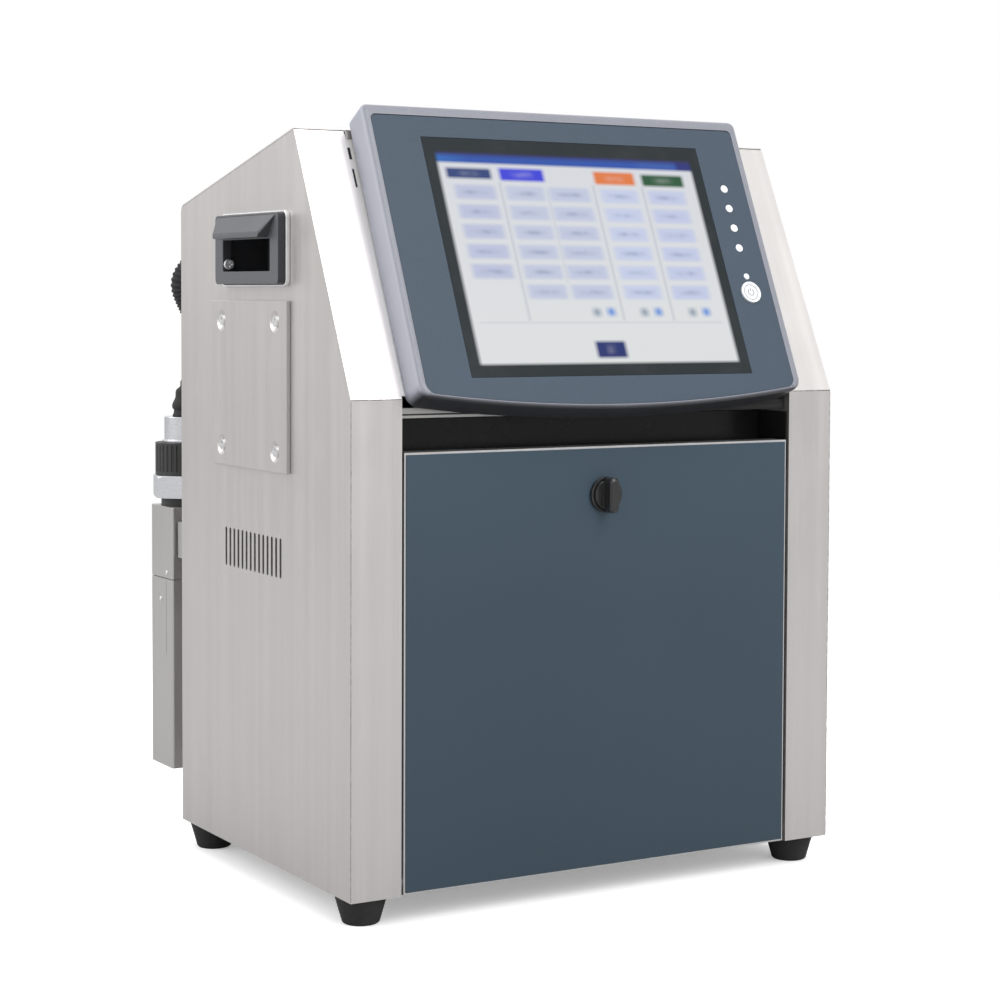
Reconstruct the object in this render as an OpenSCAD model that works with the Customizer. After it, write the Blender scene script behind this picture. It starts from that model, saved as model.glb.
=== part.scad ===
// Date code inkjet printer: sheet steel cabinet with a tilted operator panel, an ink bay
// behind a drop-down door and a print head parked on the back.
// X runs to the right, Y to the back, Z up. Z = 0 is the floor, and X = Y = 0 is the
// middle of the space that the printer takes up, from the panel's rim to the print head.

/* [Cabinet] */
// Width of the cabinet
body_w = 393; // [385:1:405]
// Depth of the cabinet
body_d = 287; // [285:1:295]
// Height at which the front starts to slope back
kink_h = 331; // [329:1:335]
// Height of the highest edge above the underside
peak_h = 513; // [512:1:516]
// Distance of the highest edge behind the front
peak_d = 88; // [86:1:90]
// Height of the back edge of the roof
rear_h = 466; // [464:1:470]
// Width of each front pillar
pillar_w = 37.5; // [36:0.5:39]
// Thickness of the sheet steel
sheet = 1.5; // [1.2:0.1:1.6]
// Height of the rubber feet
foot_h = 19; // [18:1:24]

/* [Door] */
// Height of the door's top edge
door_top = 295.5; // [292:0.5:298]
// Depth of the door's folded edges
door_t = 18; // [16:1:19]
// Height of the latch knob's centre
latch_h = 262; // [250:1:270]

/* [Operator panel] */
// Lean of the panel from vertical
panel_lean = 24.1; // [23.5:0.1:24.6]
// Distance of the panel's face in front of the slope's lower edge
panel_proud = 19.5; // [19:0.5:20]
// Half width of the bezel
bezel_w = 156; // [153:0.5:157]
// Height of the bezel's top edge up the slope
bezel_top = 209.5; // [206:0.5:210]
// Lowest point of the bezel's bowed bottom edge
bezel_mid = -16.5; // [-20:0.5:-16]
// Depth of the bezel
bezel_t = 23; // [22:0.5:23]
// Radius round the front of the bezel
rim_r = 3; // [3:0.5:5]
// Width of the screen's lit area
lcd_w = 211.2; // [205:0.1:215]
// Height of the screen's lit area
lcd_h = 158.4; // [150:0.1:162]

/* [Print head] */
// Side of the square head
head_sq = 43; // [40:1:45]
// Centre of the head to the left of the cabinet's centreline
head_x = 168.5; // [165:0.5:170]
// Centre of the head behind the cabinet's front
head_y = 344.5; // [343:0.5:350]
// Height of the head's top
head_top = 234.5; // [230:0.5:240]
// Height of the head's lower end
head_low = 31; // [30:1:40]

/* [Hidden] */

$fn = 48;
half_w = body_w / 2;
wall_in = half_w - sheet;
open_w = half_w - pillar_w;
slope_deg = atan(peak_d / (peak_h - kink_h));
slope_len = norm([peak_d, peak_h - kink_h]);
roof_deg = atan((peak_h - rear_h) / (body_d - peak_d));
roof_len = norm([body_d - peak_d, peak_h - rear_h]);
big = 900;
// Fold where the roof meets the back
rear_r = 5;
fold_z = rear_h - rear_r * (1 - sin(roof_deg)) / cos(roof_deg);
// Depth of the flange beside the door
flange_d = 26;
// Radial gap of a pin that turns in a bore
run_gap = 0.05;
// Gap left between neighbouring pieces that are not joined
part_gap = 0.1;

// Feet and stand bolts
foot_x = 178.5;
foot_ys = [21, body_d - 18.5];
foot_top_r = 17.5;
foot_low_r = 12.8;
stand_x = 152;
stand_y = 100;
stand_r = 4.5;

// Door pivots
door_w = open_w - 2;
pivot_y = 8;
pivot_z = 8;
pivot_r = 3;
skin_in = 1.4;
skin_t = 0.8;

// Side wall fittings
handle_y = 148.5;
handle_z = 431.2;
handle_w = 111;
handle_h = 52;
handle_t = 8.5;
rim_w = 1.5;
mouth_w = 80;
cup_w = 96;
cup_h = 38;
cup_t = 32;
plate_y = 158.5;
plate_z = 336;
plate_w = 131.5;
plate_h = 118.5;
plate_t = 3;
dimple_t = 2.2;
plate_sx = 46;
plate_sz = 45;
vent_n = 14;
vent_pitch = 7.2;
vent_y = 156;
vent_z = 217;
vent_h = 28;
vent_w = 3.2;

// Operator panel
overlay_w = 150;
overlay_top = 201.3;
overlay_mid = -13.8;
bow_r = 1045;
recess_t = 1.2;
glass_w = 229;
glass_h = 178.5;
glass_t = 96.3;
lcd_t = 95.4;
led_x = 131.4;
led_ts = [105.3, 121.2, 137.1, 153];
led_r = 3;
mode_led_t = 82.5;
mode_led_r = 2.3;
power_t = 69.8;
power_r = 8.2;
shell_w = 146;
shell_low = 9;
shell_top = 189;
shell_back = -52;
hinge_y = 92;
hinge_z = 515.9;
hinge_r = 3.4;
hinge_pin_r = 1.5;
hinge_xs = [-90, 90];
leaf_w = 44;
leaf_t = 1.2;
// Distance from the hinge's axis to the back of the bezel
leaf_back = hinge_y * cos(panel_lean) - (hinge_z - kink_h) * sin(panel_lean)
    + panel_proud - bezel_t;

// Ink bay
tank_y = 92;
tank_z = 8;
tank_w = 112;
tank_d = 104;
tank_h = 140;
ink_x = -88;
solvent_x = 30;
neck_r = 18;
neck_h = 16;
cap_r = 23;
cap_h = 22;
filter_x = 130;
filter_y = 80;
filter_r = 27;
motor_x = -60;
motor_y = 225;
pump_z = 60;
manifold_y = 248;

// Electronics bay
shelf_z = 272;
fan_x = 70;
fan_z = 372;
fan_sq = 80;
fan_t = 25;
shaft_r = 3;
inlet_x = 164.5;
inlet_z = 60;
port_xs = [-60, -25, 10, 45];
port_z = 60;
port_r = 9;

// Print head and conduit
gland_x = -130;
gland_z = 438;
gland_r = 11;
conduit_r = 11.5;
grip_z0 = 259.5;
grip_z1 = 284;
ring_z1 = 304;
hex_z0 = 241;
cover_top = 178.5;
hex_r = 28.5;
hex_turn = 15;
// Plate of the holder that the head hangs on
hang_y = head_y - head_sq / 2 - 3;
hang_z = 224;
hang_t = 2;

// Foremost and rearmost points of the printer, from the cabinet's front
front_reach = (rim_r + bezel_mid) * sin(panel_lean) - (panel_proud - rim_r) * cos(panel_lean) - rim_r;
back_reach = head_y + hex_r * cos(hex_turn);

// ---------------------------------------------------------------- helpers

// Cabinet frame: Y from the cabinet's front, Z from its underside
module cabinet() {
    translate([0, -(front_reach + back_reach) / 2, foot_h]) children();
}

// Panel frame: Y up the panel, Z out of its face
module panel() {
    cabinet()
        translate([0, 0, kink_h])
        rotate([90 - panel_lean, 0, 0])
        translate([0, 0, panel_proud])
        children();
}

// Slope frame: Y inwards from the slope, Z up along it
module slope() {
    translate([0, 0, kink_h]) rotate([-slope_deg, 0, 0]) children();
}

// Roof frame: Y backwards along the roof, Z out of it
module roof() {
    translate([0, peak_d, peak_h]) rotate([-roof_deg, 0, 0]) children();
}

module both_sides() {
    children();
    mirror([1, 0, 0]) children();
}

// A box given by its lowest and highest corners
module span(low, high) {
    translate(low) cube(high - low);
}

module rod_x(r, x0, x1) {
    translate([x0, 0, 0]) rotate([0, 90, 0]) cylinder(r = r, h = x1 - x0);
}

// A rod along Y that starts at the origin
module rod_y(r, length) {
    rotate([-90, 0, 0]) cylinder(r = r, h = length);
}

// A box along Z with round vertical edges
module round_box(size, r) {
    w = size[0];
    d = size[1];
    union() {
        translate([-w / 2 + r, -d / 2, 0]) cube([w - 2 * r, d, size[2]]);
        translate([-w / 2, -d / 2 + r, 0]) cube([w, d - 2 * r, size[2]]);
        for (sx = [-1, 1], sy = [-1, 1])
            translate([sx * (w / 2 - r), sy * (d / 2 - r), 0]) cylinder(r = r, h = size[2]);
    }
}

// A slot with round ends, w wide and h long up Z, that cuts along X
module slot_x(w, h, depth) {
    translate([-depth / 2, 0, 0]) rotate([90, 0, 90]) {
        translate([-w / 2, -h / 2 + w / 2, 0]) cube([w, h - w, depth]);
        for (s = [-1, 1]) translate([0, s * (h / 2 - w / 2), 0]) cylinder(r = w / 2, h = depth);
    }
}

// Outline with a straight top and a bowed bottom: half width, top, lowest point, corner radii
function bow(x) = bow_r - sqrt(bow_r * bow_r - x * x);
function bowed_outline(w, top, mid, r_top, r_low) =
    let (low = mid + bow(w - r_low))
    concat(
        [for (a = [0:15:90]) [w - r_top + r_top * cos(a), top - r_top + r_top * sin(a)]],
        [for (a = [90:15:180]) [-w + r_top + r_top * cos(a), top - r_top + r_top * sin(a)]],
        [for (a = [180:15:255]) [-w + r_low + r_low * cos(a), low + r_low + r_low * sin(a)]],
        [for (i = [-12:12]) let (x = i / 12 * (w - r_low)) [x, mid + bow(x)]],
        [for (a = [285:15:345]) [w - r_low + r_low * cos(a), low + r_low + r_low * sin(a)]]);

// Smooth curve through a list of points
function curve(a, b, c, d, t) = 0.5 * (2 * b + (c - a) * t + (2 * a - 5 * b + 4 * c - d) * t * t
    + (3 * b - a - 3 * c + d) * t * t * t);
function spline(p, steps) = concat(
    [for (i = [0:len(p) - 2], k = [0:steps - 1])
        curve(p[max(i - 1, 0)], p[i], p[i + 1], p[min(i + 2, len(p) - 1)], k / steps)],
    [p[len(p) - 1]]);
function unit(v) = v / norm(v);

// Solid round tube along a path; side is a direction the path never takes
module tube_along(path, r, side, sides = 16) {
    n = len(path);
    rings = [for (i = [0:n - 1])
        let (t = unit(path[min(i + 1, n - 1)] - path[max(i - 1, 0)]),
             u = unit(cross(side, t)), v = cross(t, u))
        [for (k = [0:sides - 1]) let (a = 360 * k / sides) path[i] + r * (u * cos(a) + v * sin(a))]];
    walls = [for (i = [0:n - 2], k = [0:sides - 1])
        let (a = i * sides + k, b = i * sides + (k + 1) % sides)
        [a, a + sides, b + sides, b]];
    polyhedron([for (ring = rings, p = ring) p],
        concat(walls, [[for (k = [0:sides - 1]) k],
            [for (k = [sides - 1:-1:0]) (n - 1) * sides + k]]), convexity = 6);
}

// Pan head screw along -Z from the origin, head above
module pan_screw(r, length, head_r, head_h) {
    difference() {
        union() {
            translate([0, 0, -length]) cylinder(r = r, h = length);
            cylinder(r = head_r, h = head_h);
        }
        translate([0, 0, head_h - 0.9])
            for (a = [0, 90]) rotate(a) translate([-head_r * 0.6, -0.5, 0]) cube([head_r * 1.2, 1, 2]);
    }
}

// ---------------------------------------------------------------- cabinet

// Arc of the roof's rear fold, from the back up to the roof
function rear_fold(r) = [for (k = [0:6]) let (a = (90 - roof_deg) * k / 6)
    [body_d - rear_r + r * cos(a), fold_z + r * sin(a)]];

// Side wall up to just below the roof sheet
module side_outline() {
    gap = sheet + part_gap;
    s = gap / cos(slope_deg - roof_deg);
    polygon(concat([[0, 0], [body_d, 0], [body_d, fold_z - part_gap],
        [body_d - gap, fold_z - part_gap]], rear_fold(rear_r - gap),
        [[peak_d - s * sin(slope_deg), peak_h - s * cos(slope_deg)], [0, kink_h]]));
}

// Everything from just below the roof sheet upwards
module above_roof() {
    roof() translate([-big / 2, -big / 2, -sheet - part_gap]) cube(big);
}

// Line that lies d behind the front and the slope, from the floor to above the roof
function front_line(d) =
    let (corner = [d, kink_h - d * tan(slope_deg / 2)], above = slope_len + 20)
    [[d, 0], corner, corner + above * [sin(slope_deg), cos(slope_deg)]];

// Slab across X between two such lines
module front_slab(d0, d1, x0, x1) {
    back = front_line(d1);
    translate([x0, 0, 0])
        rotate([90, 0, 90])
        linear_extrude(x1 - x0)
        polygon(concat(front_line(d0), [back[2], back[1], back[0]]));
}

// Side wall, front pillar and the flange beside the door, folded from one sheet
module side_sheet() {
    difference() {
        union() {
            translate([-half_w, 0, 0])
                rotate([90, 0, 90])
                linear_extrude(sheet)
                side_outline();
            difference() {
                front_slab(0, flange_d, -half_w, -open_w);
                front_slab(sheet, flange_d + 1, -half_w + sheet, -open_w - sheet);
            }
        }
        above_roof();
        // Opening behind the carry handle
        span([-half_w - 5, handle_y - cup_w / 2 - 0.5, handle_z - cup_h / 2 - 0.5],
            [-wall_in + 5, handle_y + cup_w / 2 + 0.5, handle_z + cup_h / 2 + 0.5]);
        // Ventilation slots
        for (i = [0:vent_n - 1])
            translate([-half_w, vent_y + (i - (vent_n - 1) / 2) * vent_pitch, vent_z])
                slot_x(vent_w, vent_h, 8);
        // Door pivot
        translate([0, pivot_y, pivot_z]) rod_x(pivot_r, -half_w + sheet + 1, -open_w + 5);
        // Adjusting slots in the flange beside the operator panel
        slope() for (z = [50, 110, 165]) translate([-open_w, 13, z]) slot_x(5, 22, 8);
    }
}

module left_side_panel() {
    color("lightgray") cabinet() difference() {
        side_sheet();
        for (sy = [-1, 1], sz = [-1, 1])
            translate([-half_w - 5, plate_y + sy * plate_sx, plate_z + sz * plate_sz])
                rod_x(2, 0, 12);
    }
}

module right_side_panel() {
    color("lightgray") cabinet() mirror([1, 0, 0]) side_sheet();
}

module top_cover() {
    lip_x = wall_in - part_gap;
    outer = rear_fold(rear_r);
    inner = rear_fold(rear_r - sheet);
    under_peak = [peak_d - sheet * sin(roof_deg), peak_h - sheet * cos(roof_deg)];
    color("lightgray") cabinet() {
        translate([-half_w, 0, 0])
            rotate([90, 0, 90])
            linear_extrude(body_w)
            polygon(concat(outer, [[peak_d, peak_h], under_peak],
                [for (k = [len(inner) - 1:-1:0]) inner[k]]));
        roof() both_sides()
            span([lip_x - sheet, 12, -sheet - 12], [lip_x, roof_len - 10, -sheet / 2]);
        slope() span([-open_w + 1, 0.02, slope_len - 7], [open_w - 1, sheet, slope_len - 0.7]);
    }
}

module back_panel() {
    x = wall_in - part_gap;
    top = fold_z - 0.3;
    color("lightgray") cabinet() difference() {
        span([-x, body_d - sheet, sheet + part_gap], [x, body_d, top]);
        // Fan, gland, mains inlet and connectors
        translate([fan_x, body_d - 5, fan_z]) rod_y(38, 10);
        translate([gland_x, body_d - 5, gland_z]) rod_y(gland_r, 10);
        span([inlet_x - 24, body_d - 5, inlet_z - 14], [inlet_x + 24, body_d + 5, inlet_z + 14]);
        for (px = port_xs) translate([px, body_d - 5, port_z]) rod_y(port_r, 10);
        // Rows of air slots
        for (row = [0, 1], i = [0:9])
            translate([-60 + i * 8, body_d, 330 + row * 45]) rotate(90) slot_x(3.2, 30, 10);
    }
}

module base_pan() {
    x = wall_in - part_gap;
    y0 = flange_d + 0.5;
    y1 = body_d - sheet - part_gap;
    lip = 16;
    color("lightgray") cabinet() difference() {
        union() {
            span([-x, y0, 0], [x, y1, sheet]);
            both_sides() {
                span([-x, 4, 0], [-open_w - 3, y0, sheet]);
                span([-x, 30, 0], [-x + sheet, y1, lip]);
            }
            span([-x, y1 - sheet, 0], [x, y1, lip]);
        }
        for (sx = [-1, 1], y = foot_ys) translate([sx * foot_x, y, -1]) cylinder(r = 2.6, h = 5);
        for (sx = [-1, 1], sy = [-1, 1])
            translate([sx * stand_x, body_d / 2 + sy * stand_y, -1]) cylinder(r = stand_r, h = 5);
    }
}

module shelf() {
    x = wall_in - part_gap;
    color("gainsboro") cabinet() {
        span([-x, 28, shelf_z], [x, body_d - sheet - part_gap, shelf_z + sheet]);
        both_sides() span([-x, 40, shelf_z - 14], [-x + sheet, body_d - 20, shelf_z]);
    }
}

module recess_fascia() {
    x = open_w - 0.3;
    color([0.05, 0.05, 0.06]) cabinet() {
        span([-x, 36, shelf_z + 3], [x, 38, 316]);
        span([-x, 36, shelf_z + 3], [x, 52, shelf_z + 5]);
        both_sides() span([-x, 2, shelf_z + 3], [-x + 1, 36 - part_gap, 316]);
    }
}

module front_bulkhead() {
    x = wall_in - part_gap;
    handle_clear = half_w - cup_t - 3;
    color("silver") cabinet() difference() {
        union() {
            slope() span([-x, 40, 7], [x, 40 + sheet, 140]);
            slope() span([-handle_clear, 40, 130], [handle_clear, 40 + sheet, 203]);
            span([-x, 26.5, 318], [x, 46, 318 + sheet]);
            span([-open_w + 0.3, 6, 318], [open_w - 0.3, 30, 318 + sheet]);
            span([-open_w + 0.3, 6, 318], [open_w - 0.3, 6 + sheet, 325]);
        }
        slope() translate([60, 30, 90]) rod_y(20, 20);
    }
}

module rubber_feet() {
    color([0.08, 0.08, 0.08]) cabinet() for (sx = [-1, 1], y = foot_ys)
        translate([sx * foot_x, y, -foot_h]) difference() {
            rotate_extrude() polygon([[0, 0], [foot_low_r - 1.2, 0], [foot_low_r, 1.2],
                [foot_top_r, foot_h - 1.5], [foot_top_r, foot_h], [0, foot_h]]);
            translate([0, 0, -1]) cylinder(r = 6, h = foot_h - 5);
            translate([0, 0, -1]) cylinder(r = 2.6, h = foot_h + 5);
        }
}

module foot_screws() {
    color("silver") cabinet() for (sx = [-1, 1], y = foot_ys)
        translate([sx * foot_x, y, -6]) {
            rotate([180, 0, 0]) pan_screw(2.5, 15, 4.8, 3);
            translate([0, 0, 6 + sheet]) difference() {
                cylinder(r = 5, h = 4, $fn = 6);
                cylinder(r = 2.55, h = 4);
            }
        }
}

// ---------------------------------------------------------------- handles and cover plate

// A rounded slab in the plane of the side wall
module wall_slab(w, h, r, thick) {
    rotate([90, 0, -90]) linear_extrude(thick)
        polygon([for (c = [[1, 1, 0], [-1, 1, 90], [-1, -1, 180], [1, -1, 270]], a = [0:18:90])
            [c[0] * (w / 2 - r) + r * cos(a + c[2]), c[1] * (h / 2 - r) + r * sin(a + c[2])]]);
}

// Left carry handle: casing with a hood over the grip opening, and the cup behind it
module handle_shape() {
    wall = 2.5;
    mouth_low = -15.5;
    mouth_high = 7;
    translate([-half_w, handle_y, handle_z]) difference() {
        union() {
            wall_slab(handle_w - 2 * rim_w, handle_h - 2 * rim_w, 3.5, handle_t);
            // Hood, wider at its top than at its lip
            hull() {
                translate([0, 0, 22.5]) wall_slab(handle_w - 12, 1.6, 0.7, handle_t + 0.5);
                translate([0, 0, mouth_high + 2.5]) wall_slab(78, 4, 1.8, handle_t + 8.5);
            }
            span([0, -cup_w / 2, -cup_h / 2], [cup_t, cup_w / 2, cup_h / 2]);
        }
        // Hollow of the cup, and the mouth below the hood
        span([-1.5, -cup_w / 2 + wall, mouth_low - 1], [cup_t - wall, cup_w / 2 - wall, cup_h / 2 - wall]);
        translate([6, 0, (mouth_low + mouth_high) / 2])
            wall_slab(mouth_w, mouth_high - mouth_low, 1, 30);
        for (sy = [-1, 1]) translate([cup_t - 5, sy * 32, -6]) rod_x(2.1, 0, 8);
        translate([-handle_t / 2, mouth_w / 2 - 1, -10.3]) rod_y(2.1, 9.5);
    }
}

module carry_handles() {
    color([0.4, 0.42, 0.44]) cabinet() both_sides() handle_shape();
}

// Bright rim round each handle's casing
module handle_rims() {
    gap = part_gap / 2;
    color("white") cabinet() both_sides()
        translate([-half_w, handle_y, handle_z]) difference() {
            wall_slab(handle_w, handle_h, 4.5, 3.2);
            translate([1, 0, 0])
                wall_slab(handle_w - 2 * (rim_w - gap), handle_h - 2 * (rim_w - gap), 3.5 + gap, 6);
        }
}

module handle_screws() {
    color("silver") cabinet() both_sides() translate([-half_w, handle_y, handle_z]) {
        for (sy = [-1, 1]) translate([cup_t - 2.5, sy * 32, -6])
            rotate([0, -90, 0]) pan_screw(2, 8, 3.8, 2.4);
        translate([-handle_t / 2, mouth_w / 2 - 0.05, -10.3]) rotate([90, 0, 0]) pan_screw(2, 8, 3.6, 2.2);
    }
}

module cover_plate() {
    color("lightgray") cabinet() translate([-half_w, plate_y, plate_z]) difference() {
        span([-plate_t, -plate_w / 2, -plate_h / 2], [0, plate_w / 2, plate_h / 2]);
        for (sy = [-1, 1], sz = [-1, 1]) translate([-plate_t - 0.01, sy * plate_sx, sz * plate_sz]) {
            rod_x(2.1, 0, plate_t + 1);
            rotate([0, 90, 0]) cylinder(r1 = 7.5, r2 = 4.4, h = dimple_t);
        }
    }
}

module plate_screws() {
    color("silver") cabinet() for (sy = [-1, 1], sz = [-1, 1])
        translate([-half_w - plate_t + dimple_t - 0.03, plate_y + sy * plate_sx, plate_z + sz * plate_sz])
            rotate([0, -90, 0]) pan_screw(2, 8, 4, 2);
}

// ---------------------------------------------------------------- door and latch

module door_pan() {
    face = 1.2;
    low = 0.5;
    color("silver") cabinet() difference() {
        union() {
            span([-door_w, skin_t, low], [door_w, skin_t + face, door_top]);
            both_sides() span([-door_w, skin_t, low], [-door_w + face, door_t, door_top]);
            span([-door_w, skin_t, door_top - face], [door_w, door_t, door_top]);
            span([-door_w, skin_t, low], [door_w, door_t, low + face]);
            // Stiffening ribs
            for (z = [80, 180]) {
                span([-door_w + face, skin_t, z], [door_w - face, 8, z + 1.2]);
            }
            both_sides() translate([-door_w + face, pivot_y, pivot_z]) rod_x(6, 0, 5);
            translate([0, skin_t, latch_h]) rod_y(16, 3);
        }
        translate([0, pivot_y, pivot_z]) rod_x(pivot_r + run_gap, -door_w - 2, door_w + 2);
        translate([0, -1, latch_h]) rod_y(9, 8);
    }
}

module door_skin() {
    x = door_w - skin_in;
    color([0.3, 0.35, 0.4]) cabinet() difference() {
        span([-x, 0, 0.5 + skin_in], [x, skin_t, door_top - skin_in]);
        translate([0, -1, latch_h]) rod_y(9, 5);
    }
}

module door_hinge_pins() {
    color("silver") cabinet() both_sides() translate([0, pivot_y, pivot_z]) {
        rod_x(pivot_r, -open_w - sheet, -door_w + 5.5);
        rod_x(5, -open_w - sheet - 2.5, -open_w - sheet);
    }
}

// Fixed collar of the latch, with its bore for the spindle
module latch_bushing() {
    color([0.04, 0.04, 0.05]) cabinet() translate([0, 0, latch_h]) difference() {
        union() {
            translate([0, -2.6, 0]) rod_y(12.5, 2.6);
            rod_y(9, 12);
        }
        translate([0, -5, 0]) rod_y(6 + run_gap, 20);
        translate([0, -3, 0]) rod_y(10.6, 1.6);
    }
}

module latch_knob() {
    color([0.06, 0.06, 0.07]) cabinet() translate([0, 0, latch_h]) {
        translate([0, -4.4, 0]) rod_y(10.4, 3);
        translate([0, -2, 0]) rod_y(6, 16);
        // Wing grip
        translate([0, -4, 0]) rotate([90, 0, 0]) hull() {
            for (s = [-1, 1]) translate([0, s * 8.5, 0]) cylinder(r = 3.8, h = 8, $fn = 32);
            for (s = [-1, 1]) translate([0, s * 7.5, 0]) cylinder(r = 2.8, h = 9.5, $fn = 32);
        }
    }
}

module latch_cam() {
    color("silver") cabinet() translate([0, 14, latch_h]) difference() {
        union() {
            rod_y(9, 2.5);
            translate([-6, 0, 0]) cube([12, 2.5, 24]);
            translate([0, 2.5, 0]) rotate([-90, 0, 0]) cylinder(r = 6, h = 4, $fn = 6);
        }
        // Tapped hole of the fixing nut
        translate([0, -1, 0]) rod_y(2, 6);
    }
}

// ---------------------------------------------------------------- operator panel

module panel_bezel() {
    r_top = 5;
    r_low = 10;
    wall = 3;
    color([0.66, 0.67, 0.71]) panel() difference() {
        hull() {
            for (a = [0:22.5:90]) let (in = rim_r * (1 - cos(a)))
                translate([0, 0, -rim_r + rim_r * sin(a) - 0.01]) linear_extrude(0.01)
                    polygon(bowed_outline(bezel_w - in, bezel_top - in, bezel_mid + in,
                        r_top - in * 0.5, r_low - in * 0.5));
            translate([0, 0, -bezel_t]) linear_extrude(0.01)
                polygon(bowed_outline(bezel_w - 1, bezel_top - 1, bezel_mid + 1, r_top, r_low));
        }
        // Hollow back
        translate([0, 0, -bezel_t - 1]) linear_extrude(bezel_t - 5)
            polygon(bowed_outline(bezel_w - 1 - wall, bezel_top - 1 - wall, bezel_mid + 1 + wall,
                r_top - wall, r_low - wall));
        // Recess for the overlay, window for the glass and holes for the lamps and button
        translate([0, 0, -recess_t]) linear_extrude(5)
            polygon(bowed_outline(overlay_w + 0.2, overlay_top + 0.2, overlay_mid - 0.2, 4, 8));
        span([-glass_w / 2 - 0.2, glass_t - glass_h / 2 - 0.2, -20],
            [glass_w / 2 + 0.2, glass_t + glass_h / 2 + 0.2, 5]);
        for (t = led_ts) translate([led_x, t, -20]) cylinder(r = led_r + 0.1, h = 30);
        translate([led_x, mode_led_t, -20]) cylinder(r = mode_led_r + 0.1, h = 30);
        translate([led_x, power_t, -20]) cylinder(r = power_r + 0.1, h = 30);
    }
}

// Rear shell of the operator panel, with air slots
module panel_back_shell() {
    wall = 2.5;
    front = -bezel_t + 0.02;
    color([0.6, 0.61, 0.65]) panel() difference() {
        span([-shell_w, shell_low, shell_back], [shell_w, shell_top, front]);
        span([-shell_w + wall, shell_low + wall, shell_back + wall],
            [shell_w - wall, shell_top - wall, front + 1]);
        for (i = [-6:6]) span([i * 12 - 2, 120, shell_back - 1], [i * 12 + 2, 165, shell_back + 5]);
        translate([60, 90, shell_back - 1]) cylinder(r = 14, h = 5);
    }
}

module overlay_film() {
    color([0.36, 0.41, 0.45]) panel() difference() {
        translate([0, 0, -recess_t]) linear_extrude(0.8)
            polygon(bowed_outline(overlay_w, overlay_top, overlay_mid, 4, 8));
        span([-glass_w / 2 - 0.2, glass_t - glass_h / 2 - 0.2, -5],
            [glass_w / 2 + 0.2, glass_t + glass_h / 2 + 0.2, 5]);
        for (t = led_ts) translate([led_x, t, -20]) cylinder(r = led_r + 0.1, h = 30);
        translate([led_x, mode_led_t, -20]) cylinder(r = mode_led_r + 0.1, h = 30);
        translate([led_x, power_t, -20]) cylinder(r = power_r + 0.1, h = 30);
    }
}

module touch_glass() {
    color([0.05, 0.05, 0.06]) panel()
        span([-glass_w / 2, glass_t - glass_h / 2, -3], [glass_w / 2, glass_t + glass_h / 2, -0.5]);
}

module lcd_module() {
    frame_w = 6;
    color([0.75, 0.82, 0.95]) panel() difference() {
        span([-lcd_w / 2 - frame_w, lcd_t - lcd_h / 2 - frame_w, -12],
            [lcd_w / 2 + frame_w, lcd_t + lcd_h / 2 + frame_w, -3.02]);
        span([-lcd_w / 2, lcd_t - lcd_h / 2, -4], [lcd_w / 2, lcd_t + lcd_h / 2, 0]);
    }
}

module status_leds() {
    color("white") panel() {
        for (t = led_ts) translate([led_x, t, -7]) cylinder(r = led_r, h = 7);
        translate([led_x, mode_led_t, -7]) cylinder(r = mode_led_r, h = 7);
    }
}

module power_button() {
    color("white") panel() translate([led_x, power_t, 0]) {
        translate([0, 0, -6.5]) cylinder(r = power_r - 0.05, h = 6.8);
        difference() {
            translate([0, 0, 0.2]) cylinder(r = power_r - 0.05, h = 0.8);
            translate([0, 0, 0.3]) cylinder(r = power_r - 1.2, h = 2);
        }
    }
}

// Hinge frame: the axis of the panel hinge
module hinge_line() {
    cabinet() translate([0, hinge_y, hinge_z]) children();
}

// Profile of a hinge half, extruded from x0 to x1, with Y backwards and Z up from the axis
module hinge_profile(x0, x1) {
    translate([x0, 0, 0]) rotate([90, 0, 90]) linear_extrude(x1 - x0) children();
}

// Two outer knuckles and a leaf on the roof, for each hinge
module fixed_hinge_leaves() {
    gap = 8.2;
    end = leaf_w / 2;
    color("silver") for (x = hinge_xs) hinge_line() translate([x, 0, 0]) difference() {
        union() {
            for (s = [-1, 1]) hinge_profile(s > 0 ? gap : -end, s > 0 ? end : -gap) union() {
                circle(hinge_r);
                rotate(-roof_deg) translate([0.5, -3.72]) square([8, leaf_t]);
                rotate(-roof_deg) translate([0.5, -3.72]) square([2, 3]);
            }
            hinge_profile(-end, end) rotate(-roof_deg) translate([5, -3.72]) square([16, leaf_t]);
        }
        rod_x(hinge_pin_r, -leaf_w, leaf_w);
    }
}

// The middle knuckle and its leaf on the back of the bezel
module panel_hinge_leaves() {
    color("silver") for (x = hinge_xs) hinge_line() translate([x, 0, 0]) difference() {
        hinge_profile(-8, 8) union() {
            circle(hinge_r);
            rotate(90 - panel_lean) translate([-2, 1]) square([2.2, leaf_back - 1]);
        }
        rod_x(hinge_pin_r + run_gap, -leaf_w, leaf_w);
    }
}

module panel_hinge_pins() {
    color("gray") for (x = hinge_xs)
        hinge_line() translate([x, 0, 0]) rod_x(hinge_pin_r, -leaf_w / 2, leaf_w / 2);
}

// ---------------------------------------------------------------- ink bay

// A bottle shaped tank with a screw neck
module tank(x) {
    cabinet() translate([x, tank_y, tank_z]) difference() {
        union() {
            round_box([tank_w, tank_d, tank_h], 10);
            translate([0, 0, tank_h]) cylinder(r = neck_r, h = neck_h);
        }
        translate([0, 0, 3]) round_box([tank_w - 6, tank_d - 6, tank_h - 6], 7);
        cylinder(r = neck_r - 3, h = 2);
        translate([0, 0, tank_h - 5]) cylinder(r = neck_r - 3, h = neck_h + 10);
    }
}

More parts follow.
